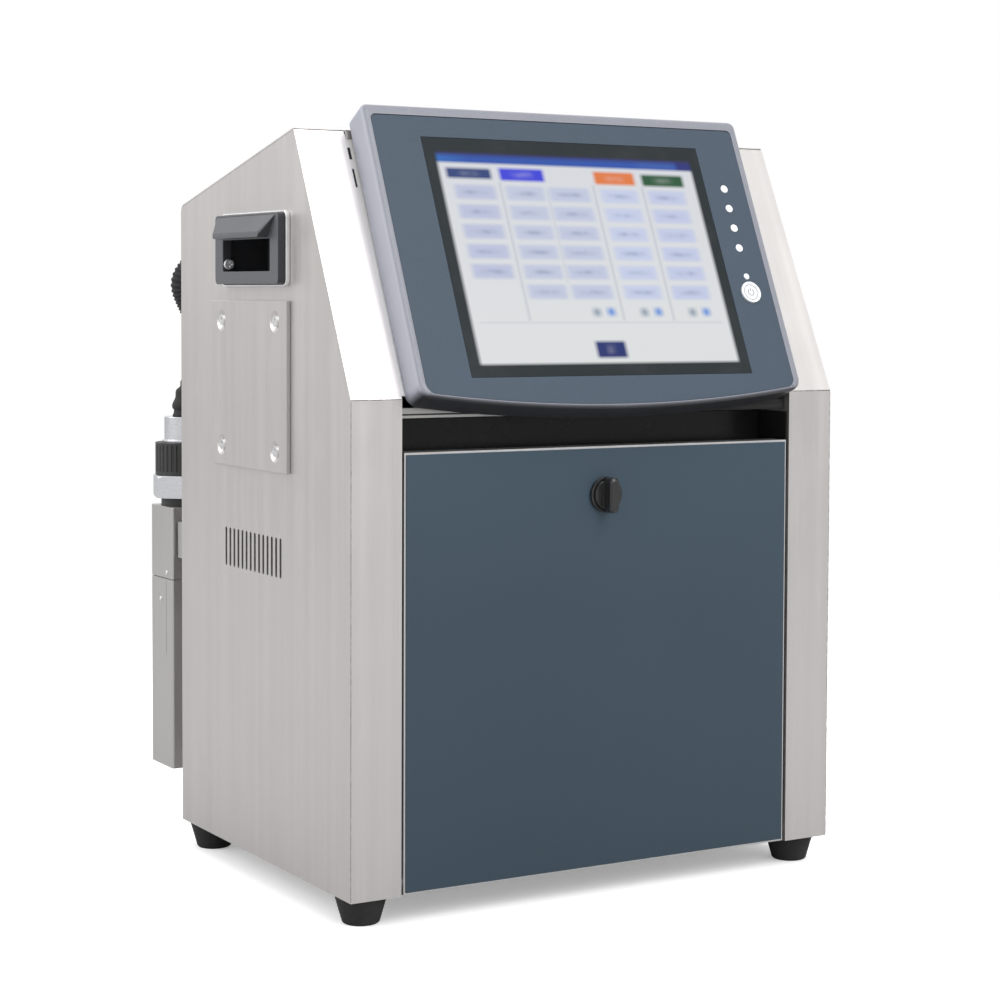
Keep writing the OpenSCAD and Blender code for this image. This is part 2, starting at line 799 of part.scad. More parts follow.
// A ribbed screw cap over a neck
module tank_cap(x) {
    cabinet() translate([x, tank_y, tank_z + tank_h + 0.5]) difference() {
        union() {
            cylinder(r = cap_r - 1, h = cap_h);
            for (i = [0:23]) rotate(i * 15) translate([cap_r - 1.8, -1, 1.5]) cube([1.6, 2, cap_h - 3]);
        }
        translate([0, 0, -1]) cylinder(r = neck_r + run_gap, h = neck_h + 1);
    }
}

module ink_tank() {
    color([0.85, 0.85, 0.8]) tank(ink_x);
}

module ink_cap() {
    color([0.1, 0.1, 0.12]) tank_cap(ink_x);
}

module solvent_tank() {
    color([0.9, 0.92, 0.92]) tank(solvent_x);
}

module solvent_cap() {
    color([0.75, 0.15, 0.1]) tank_cap(solvent_x);
}

// Filter cartridge hung from the shelf by its bracket
module ink_filter() {
    color("white") cabinet() translate([filter_x, filter_y, 0]) {
        translate([0, 0, 90]) cylinder(r = filter_r, h = 110);
        translate([0, 0, 84]) cylinder(r1 = filter_r - 6, r2 = filter_r, h = 6);
        translate([0, 0, 200]) cylinder(r = filter_r + 3, h = 18);
        translate([0, 0, 218]) cylinder(r = 8, h = shelf_z - 218);
        translate([0, 0, 72]) cylinder(r = 5, h = 14);
    }
}

module valve_manifold() {
    color("silver") cabinet() translate([70, manifold_y, 40]) difference() {
        span([-70, -14, 0], [70, 14, 30]);
        for (i = [0:3]) translate([-52 + i * 35, -15, 15]) rod_y(3, 20);
    }
    color("silver") cabinet() for (s = [-1, 1])
        span([70 + s * 60 - 6, manifold_y - 14, sheet], [70 + s * 60 + 6, manifold_y + 14, 40]);
}

module solenoid_valves() {
    color([0.12, 0.12, 0.14]) cabinet() for (i = [0:3])
        translate([18 + i * 35, manifold_y, 70]) {
            round_box([24, 24, 34], 3);
            translate([0, 0, 34]) cylinder(r = 6, h = 8);
        }
}

// Pressure regulator: the knob turns on a stem that stands on the manifold's end
module regulator_knob() {
    color([0.1, 0.1, 0.12]) cabinet() translate([125, 206, 76]) difference() {
        union() {
            cylinder(r = 11, h = 16);
            for (i = [0:11]) rotate(i * 30) translate([10.4, -1.2, 1]) cube([1.6, 2.4, 14]);
        }
        translate([0, 0, -1]) cylinder(r = 4 + run_gap, h = 11);
    }
}

// Ink pump: motor, coupling shaft and pump head in one line along X
module pump_motor() {
    color([0.2, 0.2, 0.22]) cabinet() translate([motor_x, motor_y, pump_z]) difference() {
        union() {
            rod_x(27, -80, -10);
            rod_x(14, -10, -5);
            span([-78, -24, sheet - pump_z], [-14, 24, -20]);
        }
        rod_x(4 + run_gap, -30, 0);
    }
}

module pump_shaft() {
    color("silver") cabinet() translate([motor_x, motor_y, pump_z]) {
        rod_x(4, -28, 24);
        difference() {
            rod_x(9, -3, 8);
            translate([0, 6, 6]) rod_x(1.5, -5, 10);
        }
    }
}

module pump_head() {
    color([0.75, 0.72, 0.6]) cabinet() translate([motor_x, motor_y, pump_z]) difference() {
        union() {
            rod_x(22, 10, 44);
            span([12, -16, sheet - pump_z], [42, 16, -12]);
            translate([27, 0, 18]) cylinder(r = 5, h = 14);
        }
        rod_x(4 + run_gap, 9, 26);
    }
}

// Hose through points, straight between the first two and the last two
module hose(p) {
    n = len(p);
    tube_along(concat([p[0]], spline([for (i = [1:n - 2]) p[i]], 4), [p[n - 1]]), 4, [1, 0, 0], 8);
}

module supply_hoses() {
    from_ink = [ink_x + 30, tank_y + tank_d / 2 - 20, tank_z + tank_h];
    from_solvent = [solvent_x + 30, tank_y + tank_d / 2 - 20, tank_z + tank_h];
    valve_top = 112;
    color([0.15, 0.15, 0.17]) cabinet() {
        hose([from_ink, from_ink + [0, 0, 8], from_ink + [0, 4, 28], [-50, 175, 200], [-33, 215, 170],
            [-33, motor_y, 125], [-33, motor_y, pump_z + 38], [-33, motor_y, pump_z + 32]]);
        hose([from_solvent, from_solvent + [0, 0, 8], from_solvent + [0, 4, 32], [60, 190, 205],
            [53, 235, 170], [53, manifold_y, 140], [53, manifold_y, valve_top + 8],
            [53, manifold_y, valve_top]]);
        hose([[filter_x, filter_y, 72], [filter_x, filter_y, 62], [filter_x, filter_y + 10, 40],
            [filter_x, filter_y + 60, 24], [filter_x, 190, 26], [filter_x, 212, 48],
            [filter_x, manifold_y - 22, 55], [filter_x, manifold_y - 14, 55]]);
    }
    // Stem of the pressure regulator on the filter line
    color([0.15, 0.15, 0.17]) cabinet() translate([125, 206, 46]) {
        cylinder(r = 8, h = 29);
        cylinder(r = 4, h = 38);
    }
}

// ---------------------------------------------------------------- electronics bay

module power_supply() {
    low = shelf_z + sheet;
    color("silver") cabinet() difference() {
        span([-180, 150, low], [-80, 275, low + 50]);
        for (i = [0:8], j = [0:5])
            translate([-170 + i * 10, 160 + j * 20, low + 45]) cylinder(r = 2.5, h = 10);
    }
}

module main_board() {
    low = shelf_z + sheet;
    color([0.05, 0.3, 0.15]) cabinet() {
        span([-60, 130, low + 8], [100, 255, low + 9.6]);
        for (x = [-52, 92], y = [138, 247]) translate([x, y, low]) cylinder(r = 3, h = 8);
        for (i = [0:3]) span([-45 + i * 34, 150, low + 9.6], [-25 + i * 34, 170, low + 12]);
        span([-40, 190, low + 9.6], [0, 225, low + 24]);
        span([20, 185, low + 9.6], [80, 200, low + 18]);
        span([20, 210, low + 9.6], [80, 225, low + 18]);
    }
}

module fan_frame() {
    y1 = body_d - sheet - 0.02;
    color([0.1, 0.1, 0.1]) cabinet() translate([fan_x, y1 - fan_t, fan_z]) difference() {
        union() {
            difference() {
                span([-fan_sq / 2, 0, -fan_sq / 2], [fan_sq / 2, fan_t, fan_sq / 2]);
                translate([0, -1, 0]) rod_y(38, fan_t + 2);
            }
            for (a = [45, 135]) rotate([0, a, 0]) span([-40, 0.2, -3], [40, 2.6, 3]);
            rod_y(15, 3);
            rod_y(5, 8);
        }
        translate([0, -1, 0]) rod_y(shaft_r, 10);
        for (sx = [-1, 1], sz = [-1, 1])
            translate([sx * 35.75, -1, sz * 35.75]) rod_y(2.2, fan_t + 2);
    }
}

module fan_rotor() {
    y0 = body_d - sheet - fan_t;
    color([0.15, 0.15, 0.15]) cabinet() translate([fan_x, y0, fan_z]) {
        difference() {
            translate([0, 4, 0]) rod_y(15, 19);
            translate([0, 3, 0]) rod_y(6, 10);
        }
        translate([0, 0.5, 0]) rod_y(shaft_r - run_gap, 14);
        for (a = [0:360 / 7:359]) rotate([0, a, 0]) translate([14, 13.5, 0]) rotate([35, 0, 0])
            span([0, -9, -0.8], [21, 9, 0.8]);
    }
}

module fan_guard() {
    color("silver") cabinet() translate([fan_x, body_d + 0.02, fan_z]) {
        for (r = [10, 19, 28, 37]) rotate([-90, 0, 0]) translate([0, 0, 2])
            rotate_extrude() translate([r, 0]) circle(1.1, $fn = 16);
        for (a = [0, 90]) rotate([0, a, 0]) translate([0, 2, 0]) rod_x(1, -38, 38);
        for (a = [45:90:359]) rotate([0, a, 0]) translate([36.5, 0, 0]) difference() {
            span([0, 0.9, -4], [18, 3.1, 4]);
            translate([14, -1, 0]) rod_y(2.2, 8);
        }
    }
}

module power_inlet() {
    color([0.08, 0.08, 0.08]) cabinet() translate([inlet_x, body_d + 0.02, inlet_z]) difference() {
        union() {
            span([-28, 0, -18], [28, 3, 18]);
            span([-23.5, -30, -13.5], [23.5, 0, 13.5]);
        }
        // Socket, and the well of the rocker
        span([-20, -15, -9], [3, 5, 9]);
        span([7, -10, -9.5], [20, 5, 9.5]);
        translate([13.5, -3, 0]) rod_x(1.5, -9, 9);
    }
    color("silver") cabinet() for (z = [-5, 0, 5])
        span([inlet_x - 9.5 - abs(z) / 2, body_d - 15, inlet_z + z - 1],
            [inlet_x - 7 - abs(z) / 2, body_d - 2, inlet_z + z + 1]);
}

module mains_rocker() {
    tilt = 8;
    color([0.05, 0.05, 0.05]) cabinet() translate([inlet_x + 13.5, body_d - 3 + 0.02, inlet_z]) {
        rotate([tilt, 0, 0]) span([-6, -3, -8], [6, 4.5, 8]);
        rod_x(1.5 - run_gap, -8, 8);
    }
}

module io_connectors() {
    color("gray") cabinet() for (px = port_xs)
        translate([px, body_d + 0.02, port_z]) difference() {
            union() {
                rod_y(12, 3);
                translate([0, -14, 0]) rod_y(port_r - 0.1, 16);
                rod_y(10, 8);
            }
            translate([0, 1, 0]) rod_y(7.5, 10);
            for (a = [0:72:359]) rotate([0, a, 0]) translate([4.2, -3, 0]) rod_y(0.9, 10);
        }
}

module cable_gland() {
    color([0.1, 0.1, 0.1]) cabinet() translate([gland_x, body_d, gland_z]) difference() {
        union() {
            translate([0, -12, 0]) rod_y(gland_r - 0.1, 12.02);
            translate([0, 0.02, 0]) rotate([-90, 0, 0]) cylinder(r = 18, h = 8, $fn = 6);
            translate([0, 8, 0]) rod_y(16, 14);
        }
        translate([0, -13, 0]) rod_y(8, 16);
        translate([0, 2, 0]) rod_y(conduit_r + run_gap, 25);
    }
}

// ---------------------------------------------------------------- print head

module head_conduit() {
    top = ring_z1 - 8;
    color([0.08, 0.08, 0.09]) cabinet() tube_along(spline([
        [gland_x, body_d + 4, gland_z], [gland_x, body_d + 23, gland_z],
        [gland_x, body_d + 31, gland_z],
        [gland_x - 11, body_d + 46, gland_z - 2], [gland_x - 27, head_y - 3, gland_z - 12],
        [-head_x - 2.4, head_y, gland_z - 30], [-head_x + 9, head_y, gland_z - 56],
        [-head_x + 14, head_y, gland_z - 80], [-head_x + 9.5, head_y, ring_z1 + 31],
        [-head_x + 1, head_y, ring_z1 + 13], [-head_x, head_y, ring_z1 + 5],
        [-head_x, head_y, ring_z1], [-head_x, head_y, top]], 4), conduit_r, [1, 0, 0], 16);
}

// Holder on the back panel: the head's hook hangs over its plate
module head_holder() {
    y0 = body_d + 0.02;
    color("silver") cabinet() translate([-head_x, 0, 0]) difference() {
        union() {
            span([-20, y0, 150], [46, y0 + 2, hang_z + 2]);
            both_sides() span([-18, y0, 196], [-16, hang_y, hang_z]);
            span([-18, hang_y - hang_t, 196], [18, hang_y, hang_z]);
        }
        for (z = [162, 214]) translate([36, y0 - 1, z]) rod_y(2.6, 5);
    }
}

module head_ring_nut() {
    color("silver") cabinet() translate([-head_x, head_y, 0]) difference() {
        union() {
            translate([0, 0, grip_z1 + 2]) cylinder(r = 17.5, h = ring_z1 - grip_z1 - 2);
            translate([0, 0, grip_z1]) cylinder(r = 19, h = 2);
        }
        translate([0, 0, grip_z1 - 1]) cylinder(r = conduit_r + run_gap, h = 40);
    }
}

module head_grip() {
    color([0.1, 0.1, 0.1]) cabinet() translate([-head_x, head_y, 0]) difference() {
        union() {
            translate([0, 0, hex_z0 + 17.5]) cylinder(r = 24.5, h = grip_z1 - hex_z0 - 17.5);
            translate([0, 0, head_top]) cylinder(r = 20, h = hex_z0 - head_top);
            translate([0, 0, head_top]) cylinder(r = 16, h = 30);
        }
        for (i = [0:35]) rotate(i * 10) translate([24.6, 0, grip_z0 + 2])
            cylinder(r = 0.7, h = grip_z1 - grip_z0 - 4);
        translate([0, 0, grip_z0]) cylinder(r = conduit_r + 1, h = 40);
    }
}

module head_hex_nut() {
    color("silver") cabinet() translate([-head_x, head_y, hex_z0]) difference() {
        intersection() {
            rotate(hex_turn) cylinder(r = hex_r, h = 17.5, $fn = 6);
            rotate_extrude() polygon([[0, 0], [26, 0], [29.5, 2.2], [29.5, 15.3], [26, 17.5], [0, 17.5]]);
        }
        translate([0, 0, -1]) cylinder(r = 16, h = 25);
    }
}

// Nozzle, charge electrode and deflection plates on one block inside the cover
module nozzle_block() {
    color([0.75, 0.72, 0.55]) cabinet() translate([-head_x, head_y, 0]) {
        translate([0, 0, cover_top - 30]) cylinder(r = 9, h = 30);
        translate([0, 0, cover_top - 45]) cylinder(r1 = 3, r2 = 9, h = 15);
        span([-14, -15, head_low + 20], [14, -11, cover_top]);
        span([-8, -12, cover_top - 24], [8, 0, cover_top - 4]);
        span([-12, -11, 95], [-9, 8, 130]);
        span([9, -11, 95], [12, 8, 130]);
        span([-8, -11, head_low + 22], [8, 6, head_low + 32]);
    }
}

// Upper half of the head: a square tube with its valves' cap
module head_body() {
    r = 2;
    wall = 2;
    hang_in = hang_y - head_y - hang_t - 0.3;
    color("lightgray") cabinet() translate([-head_x, head_y, 0]) difference() {
        union() {
            translate([0, 0, cover_top]) round_box([head_sq, head_sq, head_top - cover_top], r);
            // Hook
            span([-12, hang_in - 2, hang_z + part_gap], [12, -head_sq / 2 + 1, hang_z + 2.5]);
            span([-12, hang_in - 2, hang_z - 14], [12, hang_in, hang_z + 2.5]);
        }
        translate([0, 0, cover_top + 6])
            round_box([head_sq - 2 * wall, head_sq - 2 * wall, head_top - cover_top - 8], 1);
    }
}

// Lower half of the head: a square tube that slides off downwards
module head_cover() {
    r = 2;
    wall = 1.5;
    color("lightgray") cabinet() translate([-head_x, head_y, 0]) difference() {
        translate([0, 0, head_low]) round_box([head_sq, head_sq, cover_top - head_low - 0.4], r);
        translate([0, 0, head_low + 2])
            round_box([head_sq - 2 * wall, head_sq - 2 * wall, cover_top - head_low], 1);
        // Slot that the ink drops leave by
        span([-2.5, -14, head_low - 1], [2.5, 14, head_low + 5]);
    }
}

left_side_panel();
right_side_panel();
top_cover();
back_panel();
base_pan();
shelf();
recess_fascia();
front_bulkhead();
rubber_feet();
foot_screws();
carry_handles();
handle_rims();
handle_screws();
cover_plate();
plate_screws();
door_pan();
door_skin();
door_hinge_pins();
latch_bushing();
latch_knob();
latch_cam();
panel_bezel();
panel_back_shell();
overlay_film();
touch_glass();
lcd_module();
status_leds();
power_button();
fixed_hinge_leaves();
panel_hinge_leaves();
panel_hinge_pins();
ink_tank();
ink_cap();
solvent_tank();
solvent_cap();
ink_filter();
valve_manifold();
solenoid_valves();
regulator_knob();
pump_motor();
pump_shaft();
pump_head();
supply_hoses();
power_supply();
main_board();
fan_frame();
fan_rotor();
fan_guard();
power_inlet();
mains_rocker();
io_connectors();
cable_gland();
head_conduit();
head_holder();
head_ring_nut();
head_grip();
head_hex_nut();
nozzle_block();
head_body();
head_cover();
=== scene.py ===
"""Looks of a date code inkjet printer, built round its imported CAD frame. Lengths are metres."""

import math
from random import Random

import bmesh
import bpy
from mathutils import Matrix, Vector


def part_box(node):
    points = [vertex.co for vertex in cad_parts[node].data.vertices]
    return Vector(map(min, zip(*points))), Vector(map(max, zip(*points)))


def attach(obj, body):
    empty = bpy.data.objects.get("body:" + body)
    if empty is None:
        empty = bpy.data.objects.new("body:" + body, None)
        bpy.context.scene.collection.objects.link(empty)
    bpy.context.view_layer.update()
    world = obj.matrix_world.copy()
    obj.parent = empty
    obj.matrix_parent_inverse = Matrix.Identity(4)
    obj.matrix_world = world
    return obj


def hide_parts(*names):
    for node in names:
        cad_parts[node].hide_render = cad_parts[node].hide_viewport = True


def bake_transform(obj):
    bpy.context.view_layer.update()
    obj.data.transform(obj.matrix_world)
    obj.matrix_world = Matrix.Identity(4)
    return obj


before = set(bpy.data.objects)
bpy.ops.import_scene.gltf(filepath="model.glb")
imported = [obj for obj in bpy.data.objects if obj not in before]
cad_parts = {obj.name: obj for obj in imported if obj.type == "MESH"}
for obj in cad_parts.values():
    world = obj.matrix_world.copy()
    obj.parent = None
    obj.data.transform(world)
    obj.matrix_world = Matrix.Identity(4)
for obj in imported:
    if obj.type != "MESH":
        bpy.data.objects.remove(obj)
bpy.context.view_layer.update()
MM = 0.001

# ---------------------------------------------------------------- places, all from the frame

PANEL_LEAN = math.radians(24.1)
UP_PANEL = Vector((0, math.sin(PANEL_LEAN), math.cos(PANEL_LEAN)))
OUT_PANEL = Vector((0, -math.cos(PANEL_LEAN), math.sin(PANEL_LEAN)))
ACROSS = Vector((1, 0, 0))
SLOPE_LEAN = math.atan(88 / 182)
UP_SLOPE = Vector((0, math.sin(SLOPE_LEAN), math.cos(SLOPE_LEAN)))
OUT_SLOPE = Vector((0, -math.cos(SLOPE_LEAN), math.sin(SLOPE_LEAN)))
FRONT_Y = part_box("left_side_panel")[0].y
LCD_FRAME = 6 * MM
SCREEN_GLOW = 0.9


def box_mid(node):
    low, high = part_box(node)
    return (low + high) / 2


def node_points(node):
    return [v.co.copy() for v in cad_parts[node].data.vertices]


def highest_along(node, direction):
    """Distance of a node's farthest point along a direction."""
    return max(p.dot(direction) for p in node_points(node))


def lowest_along(node, direction):
    return min(p.dot(direction) for p in node_points(node))


# ---------------------------------------------------------------- material helpers


class Graph:
    """A node material that is built one call at a time."""

    def __init__(self, name):
        self.material = bpy.data.materials.new(name)
        self.material.use_nodes = True
        self.tree = self.material.node_tree
        self.shader = self.tree.nodes["Principled BSDF"]
        coordinates = self.tree.nodes.new("ShaderNodeTexCoord").outputs
        self.place, self.normal = coordinates["Object"], coordinates["Normal"]

    def link(self, value, socket):
        if isinstance(value, bpy.types.NodeSocket):
            self.tree.links.new(value, socket)
        elif isinstance(value, (tuple, list, Vector)) and len(socket.default_value) == 4:
            socket.default_value = (*value[:3], 1)
        else:
            socket.default_value = value

    def add(self, kind, inputs=None, out=0, **settings):
        node = self.tree.nodes.new(kind)
        for key, value in settings.items():
            setattr(node, key, value)
        for key, value in (inputs or {}).items():
            self.link(value, node.inputs[key])
        return node.outputs[out]

    def math(self, operation, a, b=0.0):
        return self.add("ShaderNodeMath", {0: a, 1: b}, operation=operation)

    def dot(self, a, b):
        return self.add("ShaderNodeVectorMath", {0: a, 1: b}, out=1, operation="DOT_PRODUCT")

    def scaled(self, scale):
        return self.add("ShaderNodeMapping", {"Vector": self.place, "Scale": scale})

    def parts(self, vector):
        return self.add("ShaderNodeSeparateXYZ", {0: vector}, out=slice(3))

    def noise_at(self, where, scale, detail=3.0, roughness=0.5):
        return self.add(
            "ShaderNodeTexNoise",
            {"Vector": where, "Scale": scale, "Detail": detail, "Roughness": roughness},
        )

    def noise(self, scale, detail=3.0, stretch=(1, 1, 1), roughness=0.5):
        return self.noise_at(self.scaled(stretch), scale, detail, roughness)

    def ramp(self, value, low, high, out_low=0.0, out_high=1.0):
        return self.add(
            "ShaderNodeMapRange",
            {0: value, 1: low, 2: high, 3: out_low, 4: out_high},
            clamp=True,
        )

    def mix(self, share, a, b):
        node = self.tree.nodes.new("ShaderNodeMix")
        node.data_type = "RGBA"
        self.link(share, node.inputs["Factor"])
        self.link(a, node.inputs[6])
        self.link(b, node.inputs[7])
        return node.outputs[2]

    def bump(self, height, strength, distance=MM):
        normal = self.add(
            "ShaderNodeBump",
            {"Height": height, "Strength": strength, "Distance": distance},
        )
        self.link(normal, self.shader.inputs["Normal"])

    def set(self, **values):
        names = {
            "color": "Base Color",
            "metal": "Metallic",
            "rough": "Roughness",
            "coat": "Coat Weight",
            "coat_rough": "Coat Roughness",
            "specular": "Specular IOR Level",
            "glow": "Emission Color",
            "glow_strength": "Emission Strength",
        }
        for key, value in values.items():
            self.link(value, self.shader.inputs[names[key]])
        return self


def tone(color, factor):
    return tuple(min(1.0, c * factor) for c in color)


# ---------------------------------------------------------------- materials


def brushed_steel(name, color, rough=0.36, metal=0.85, marks=1.0, slope_light=1.0, painted_shade_from=None):
    """Sheet steel brushed along its height or depth, with rolling streaks and handling marks.

    The slope factor is painted light: how much paler the faces are that look along the sloped
    front. Close to the front, painted shade makes the sheet dark to the right of a given place.
    """
    g = Graph(name)
    # Grain places: across the sheet as they are, along the brushing squeezed almost to nothing
    x, y, z = g.parts(g.place)
    faces_side = g.ramp(g.math("ABSOLUTE", g.parts(g.normal)[0]), 0.45, 0.55)
    along = g.math("MULTIPLY", g.math("ADD", y, z), 0.012)
    across = g.math("ADD", x, g.math("MULTIPLY", faces_side, y))
    grain = g.add("ShaderNodeCombineXYZ", {0: across, 1: faces_side, 2: along})
    fine = g.noise_at(grain, 1500, 2.0)
    streak = g.noise_at(grain, 120, 3.0)
    band = g.noise_at(grain, 17, 2.0)
    cloud = g.noise(9, 3.0)
    smudge = g.noise(38, 4.0, (1, 1, 0.6))
    shade = g.math("ADD", g.math("MULTIPLY", fine, 0.4), g.math("MULTIPLY", streak, 0.6))
    base = g.mix(g.ramp(shade, 0.32, 0.68), tone(color, 0.94), tone(color, 1.045))
    warm = tuple(a * b for a, b in zip(color, (1.03, 0.99, 0.93)))
    cool = tuple(a * b for a, b in zip(color, (0.99, 0.97, 1.05)))
    base = g.mix(g.ramp(band, 0.56, 0.7, 0.0, 0.7), base, warm)
    base = g.mix(g.ramp(band, 0.44, 0.3, 0.0, 0.8), base, cool)
    base = g.mix(g.ramp(cloud, 0.35, 0.75, 0.0, 0.25 * marks), base, tone(color, 0.86))
    base = g.mix(g.ramp(smudge, 0.62, 0.8, 0.0, 0.12 * marks), base, tone(color, 0.75))
    roughness = g.math("ADD", g.ramp(shade, 0.3, 0.7, rough - 0.04, rough + 0.05),
                       g.ramp(smudge, 0.5, 0.8, 0.0, 0.08 * marks))
    # Painted light: faces that look along the sloped front are made paler by the slope factor
    if slope_light != 1.0:
        base = g.mix(g.ramp(g.dot(g.normal, OUT_SLOPE), 0.97, 0.99), base, tone(color, slope_light))
    # Painted shade: close to the front, the sheet is darkened to the right of the given place
    if painted_shade_from is not None:
        near_front = g.ramp(y, FRONT_Y + 16 * MM, FRONT_Y + 22 * MM, 1.0, 0.0)
        share = g.math("MULTIPLY", g.ramp(x, painted_shade_from, painted_shade_from + 60 * MM), near_front)
        base = g.mix(share, base, tone(color, 0.08))
    g.set(color=base, metal=metal, rough=roughness)
    g.bump(fine, 0.05, 0.2 * MM)
    return g.material


def powder_coat(name, color, rough=0.38, specular=0.3):
    """Fine textured paint with a faint orange peel, painted shade towards the floor and painted
    light up top.
    """
    g = Graph(name)
    peel = g.noise(900, 2.0)
    wash = g.noise(5, 2.0)
    base = g.mix(g.ramp(wash, 0.3, 0.7), tone(color, 0.95), tone(color, 1.06))
    base = g.mix(g.ramp(peel, 0.55, 0.75, 0.0, 0.25), base, tone(color, 1.12))
    # Painted shade darkens the paint towards the floor; painted light makes it paler near the top
    base = g.mix(g.ramp(g.parts(g.place)[2], 0.06, 0.33, 0.45, 0.0), base, tone(color, 0.7))
    base = g.mix(g.ramp(g.parts(g.place)[2], 0.2, 0.34, 0.0, 0.6), base, tone(color, 1.2))
    g.set(color=base, rough=g.ramp(peel, 0.3, 0.7, rough - 0.04, rough + 0.05), specular=specular)
    g.bump(peel, 0.06, 0.3 * MM)
    return g.material


def moulded_plastic(name, color, rough=0.45, grain=700, bump=0.12, coat=0.0, specular=0.4,
                    painted_shading=()):
    """Moulded plastic with a spark eroded texture and slightly uneven gloss.

    The directions given with factors are painted light and shade: faces that look that way are made
    darker or paler.
    """
    g = Graph(name)
    texture = g.noise(grain, 3.0, roughness=0.6)
    wear = g.noise(24, 4.0)
    base = g.mix(g.ramp(texture, 0.35, 0.7), tone(color, 0.92), tone(color, 1.06))
    base = g.mix(g.ramp(wear, 0.55, 0.8, 0.0, 0.25), base, tone(color, 1.18))
    # Painted light and shade: faces that look along a given direction are made paler or darker
    for toward, factor in painted_shading:
        base = g.mix(g.ramp(g.dot(g.normal, toward), 0.35, 0.8), base, tone(color, factor))
    g.set(color=base, rough=g.ramp(wear, 0.3, 0.75, rough - 0.05, rough + 0.07), coat=coat,
          coat_rough=0.12, specular=specular)
    g.bump(texture, bump, 0.25 * MM)
    return g.material


def rubber(name, color):
    g = Graph(name)
    grain = g.noise(420, 4.0, roughness=0.7)
    dust = g.noise(30, 4.0)
    base = g.mix(g.ramp(dust, 0.5, 0.8, 0.0, 0.35), color, (0.07, 0.066, 0.062))
    g.set(color=base, rough=g.ramp(grain, 0.3, 0.7, 0.62, 0.8), specular=0.35)
    g.bump(grain, 0.25, 0.4 * MM)
    return g.material


def plated_metal(name, color, rough=0.2, turned=False):
    """Bright plated or turned metal; a turned one has rings round the vertical axis."""
    g = Graph(name)
    stretch = (1, 1, 30) if turned else (1, 1, 1)
    tool_marks = g.noise(260, 3.0, stretch)
    stain = g.noise(60, 3.0)
    base = g.mix(g.ramp(stain, 0.45, 0.8, 0.0, 0.4), color, tone(color, 0.78))
    g.set(color=base, metal=1.0, rough=g.ramp(tool_marks, 0.3, 0.7, rough - 0.05, rough + 0.1))
    g.bump(tool_marks, 0.05, 0.2 * MM)
    return g.material


def cloudy_plastic(name, color, inside, fill_height):
    """Milky tank plastic that shows the darker liquid up to fill_height."""
    g = Graph(name)
    height = g.parts(g.place)[2]
    ripple = g.noise(40, 3.0)
    level = g.math("ADD", height, g.math("MULTIPLY", ripple, 0.4 * MM))
    filled = g.ramp(level, fill_height, fill_height + 1.5 * MM, 1.0, 0.0)
    cloud = g.noise(14, 3.0)
    shell = g.mix(g.ramp(cloud, 0.3, 0.7), tone(color, 0.94), color)
    g.set(color=g.mix(filled, shell, inside), rough=g.ramp(ripple, 0.3, 0.7, 0.3, 0.42))
    g.bump(g.noise(300, 3.0), 0.08, 0.3 * MM)
    return g.material


def circuit_board(name):
    """Green solder resist with fine copper tracks."""
    g = Graph(name)
    tracks = g.add(
        "ShaderNodeTexBrick",
        {"Vector": g.scaled((1, 1, 0)), "Scale": 55.0, "Mortar Size": 0.03,
         "Color1": (0.01, 0.12, 0.05), "Color2": (0.012, 0.15, 0.06), "Mortar": (0.03, 0.26, 0.1)},
    )
    g.set(color=tracks, rough=0.3, coat=0.4)
    g.bump(g.noise(500, 2.0), 0.05)
    return g.material


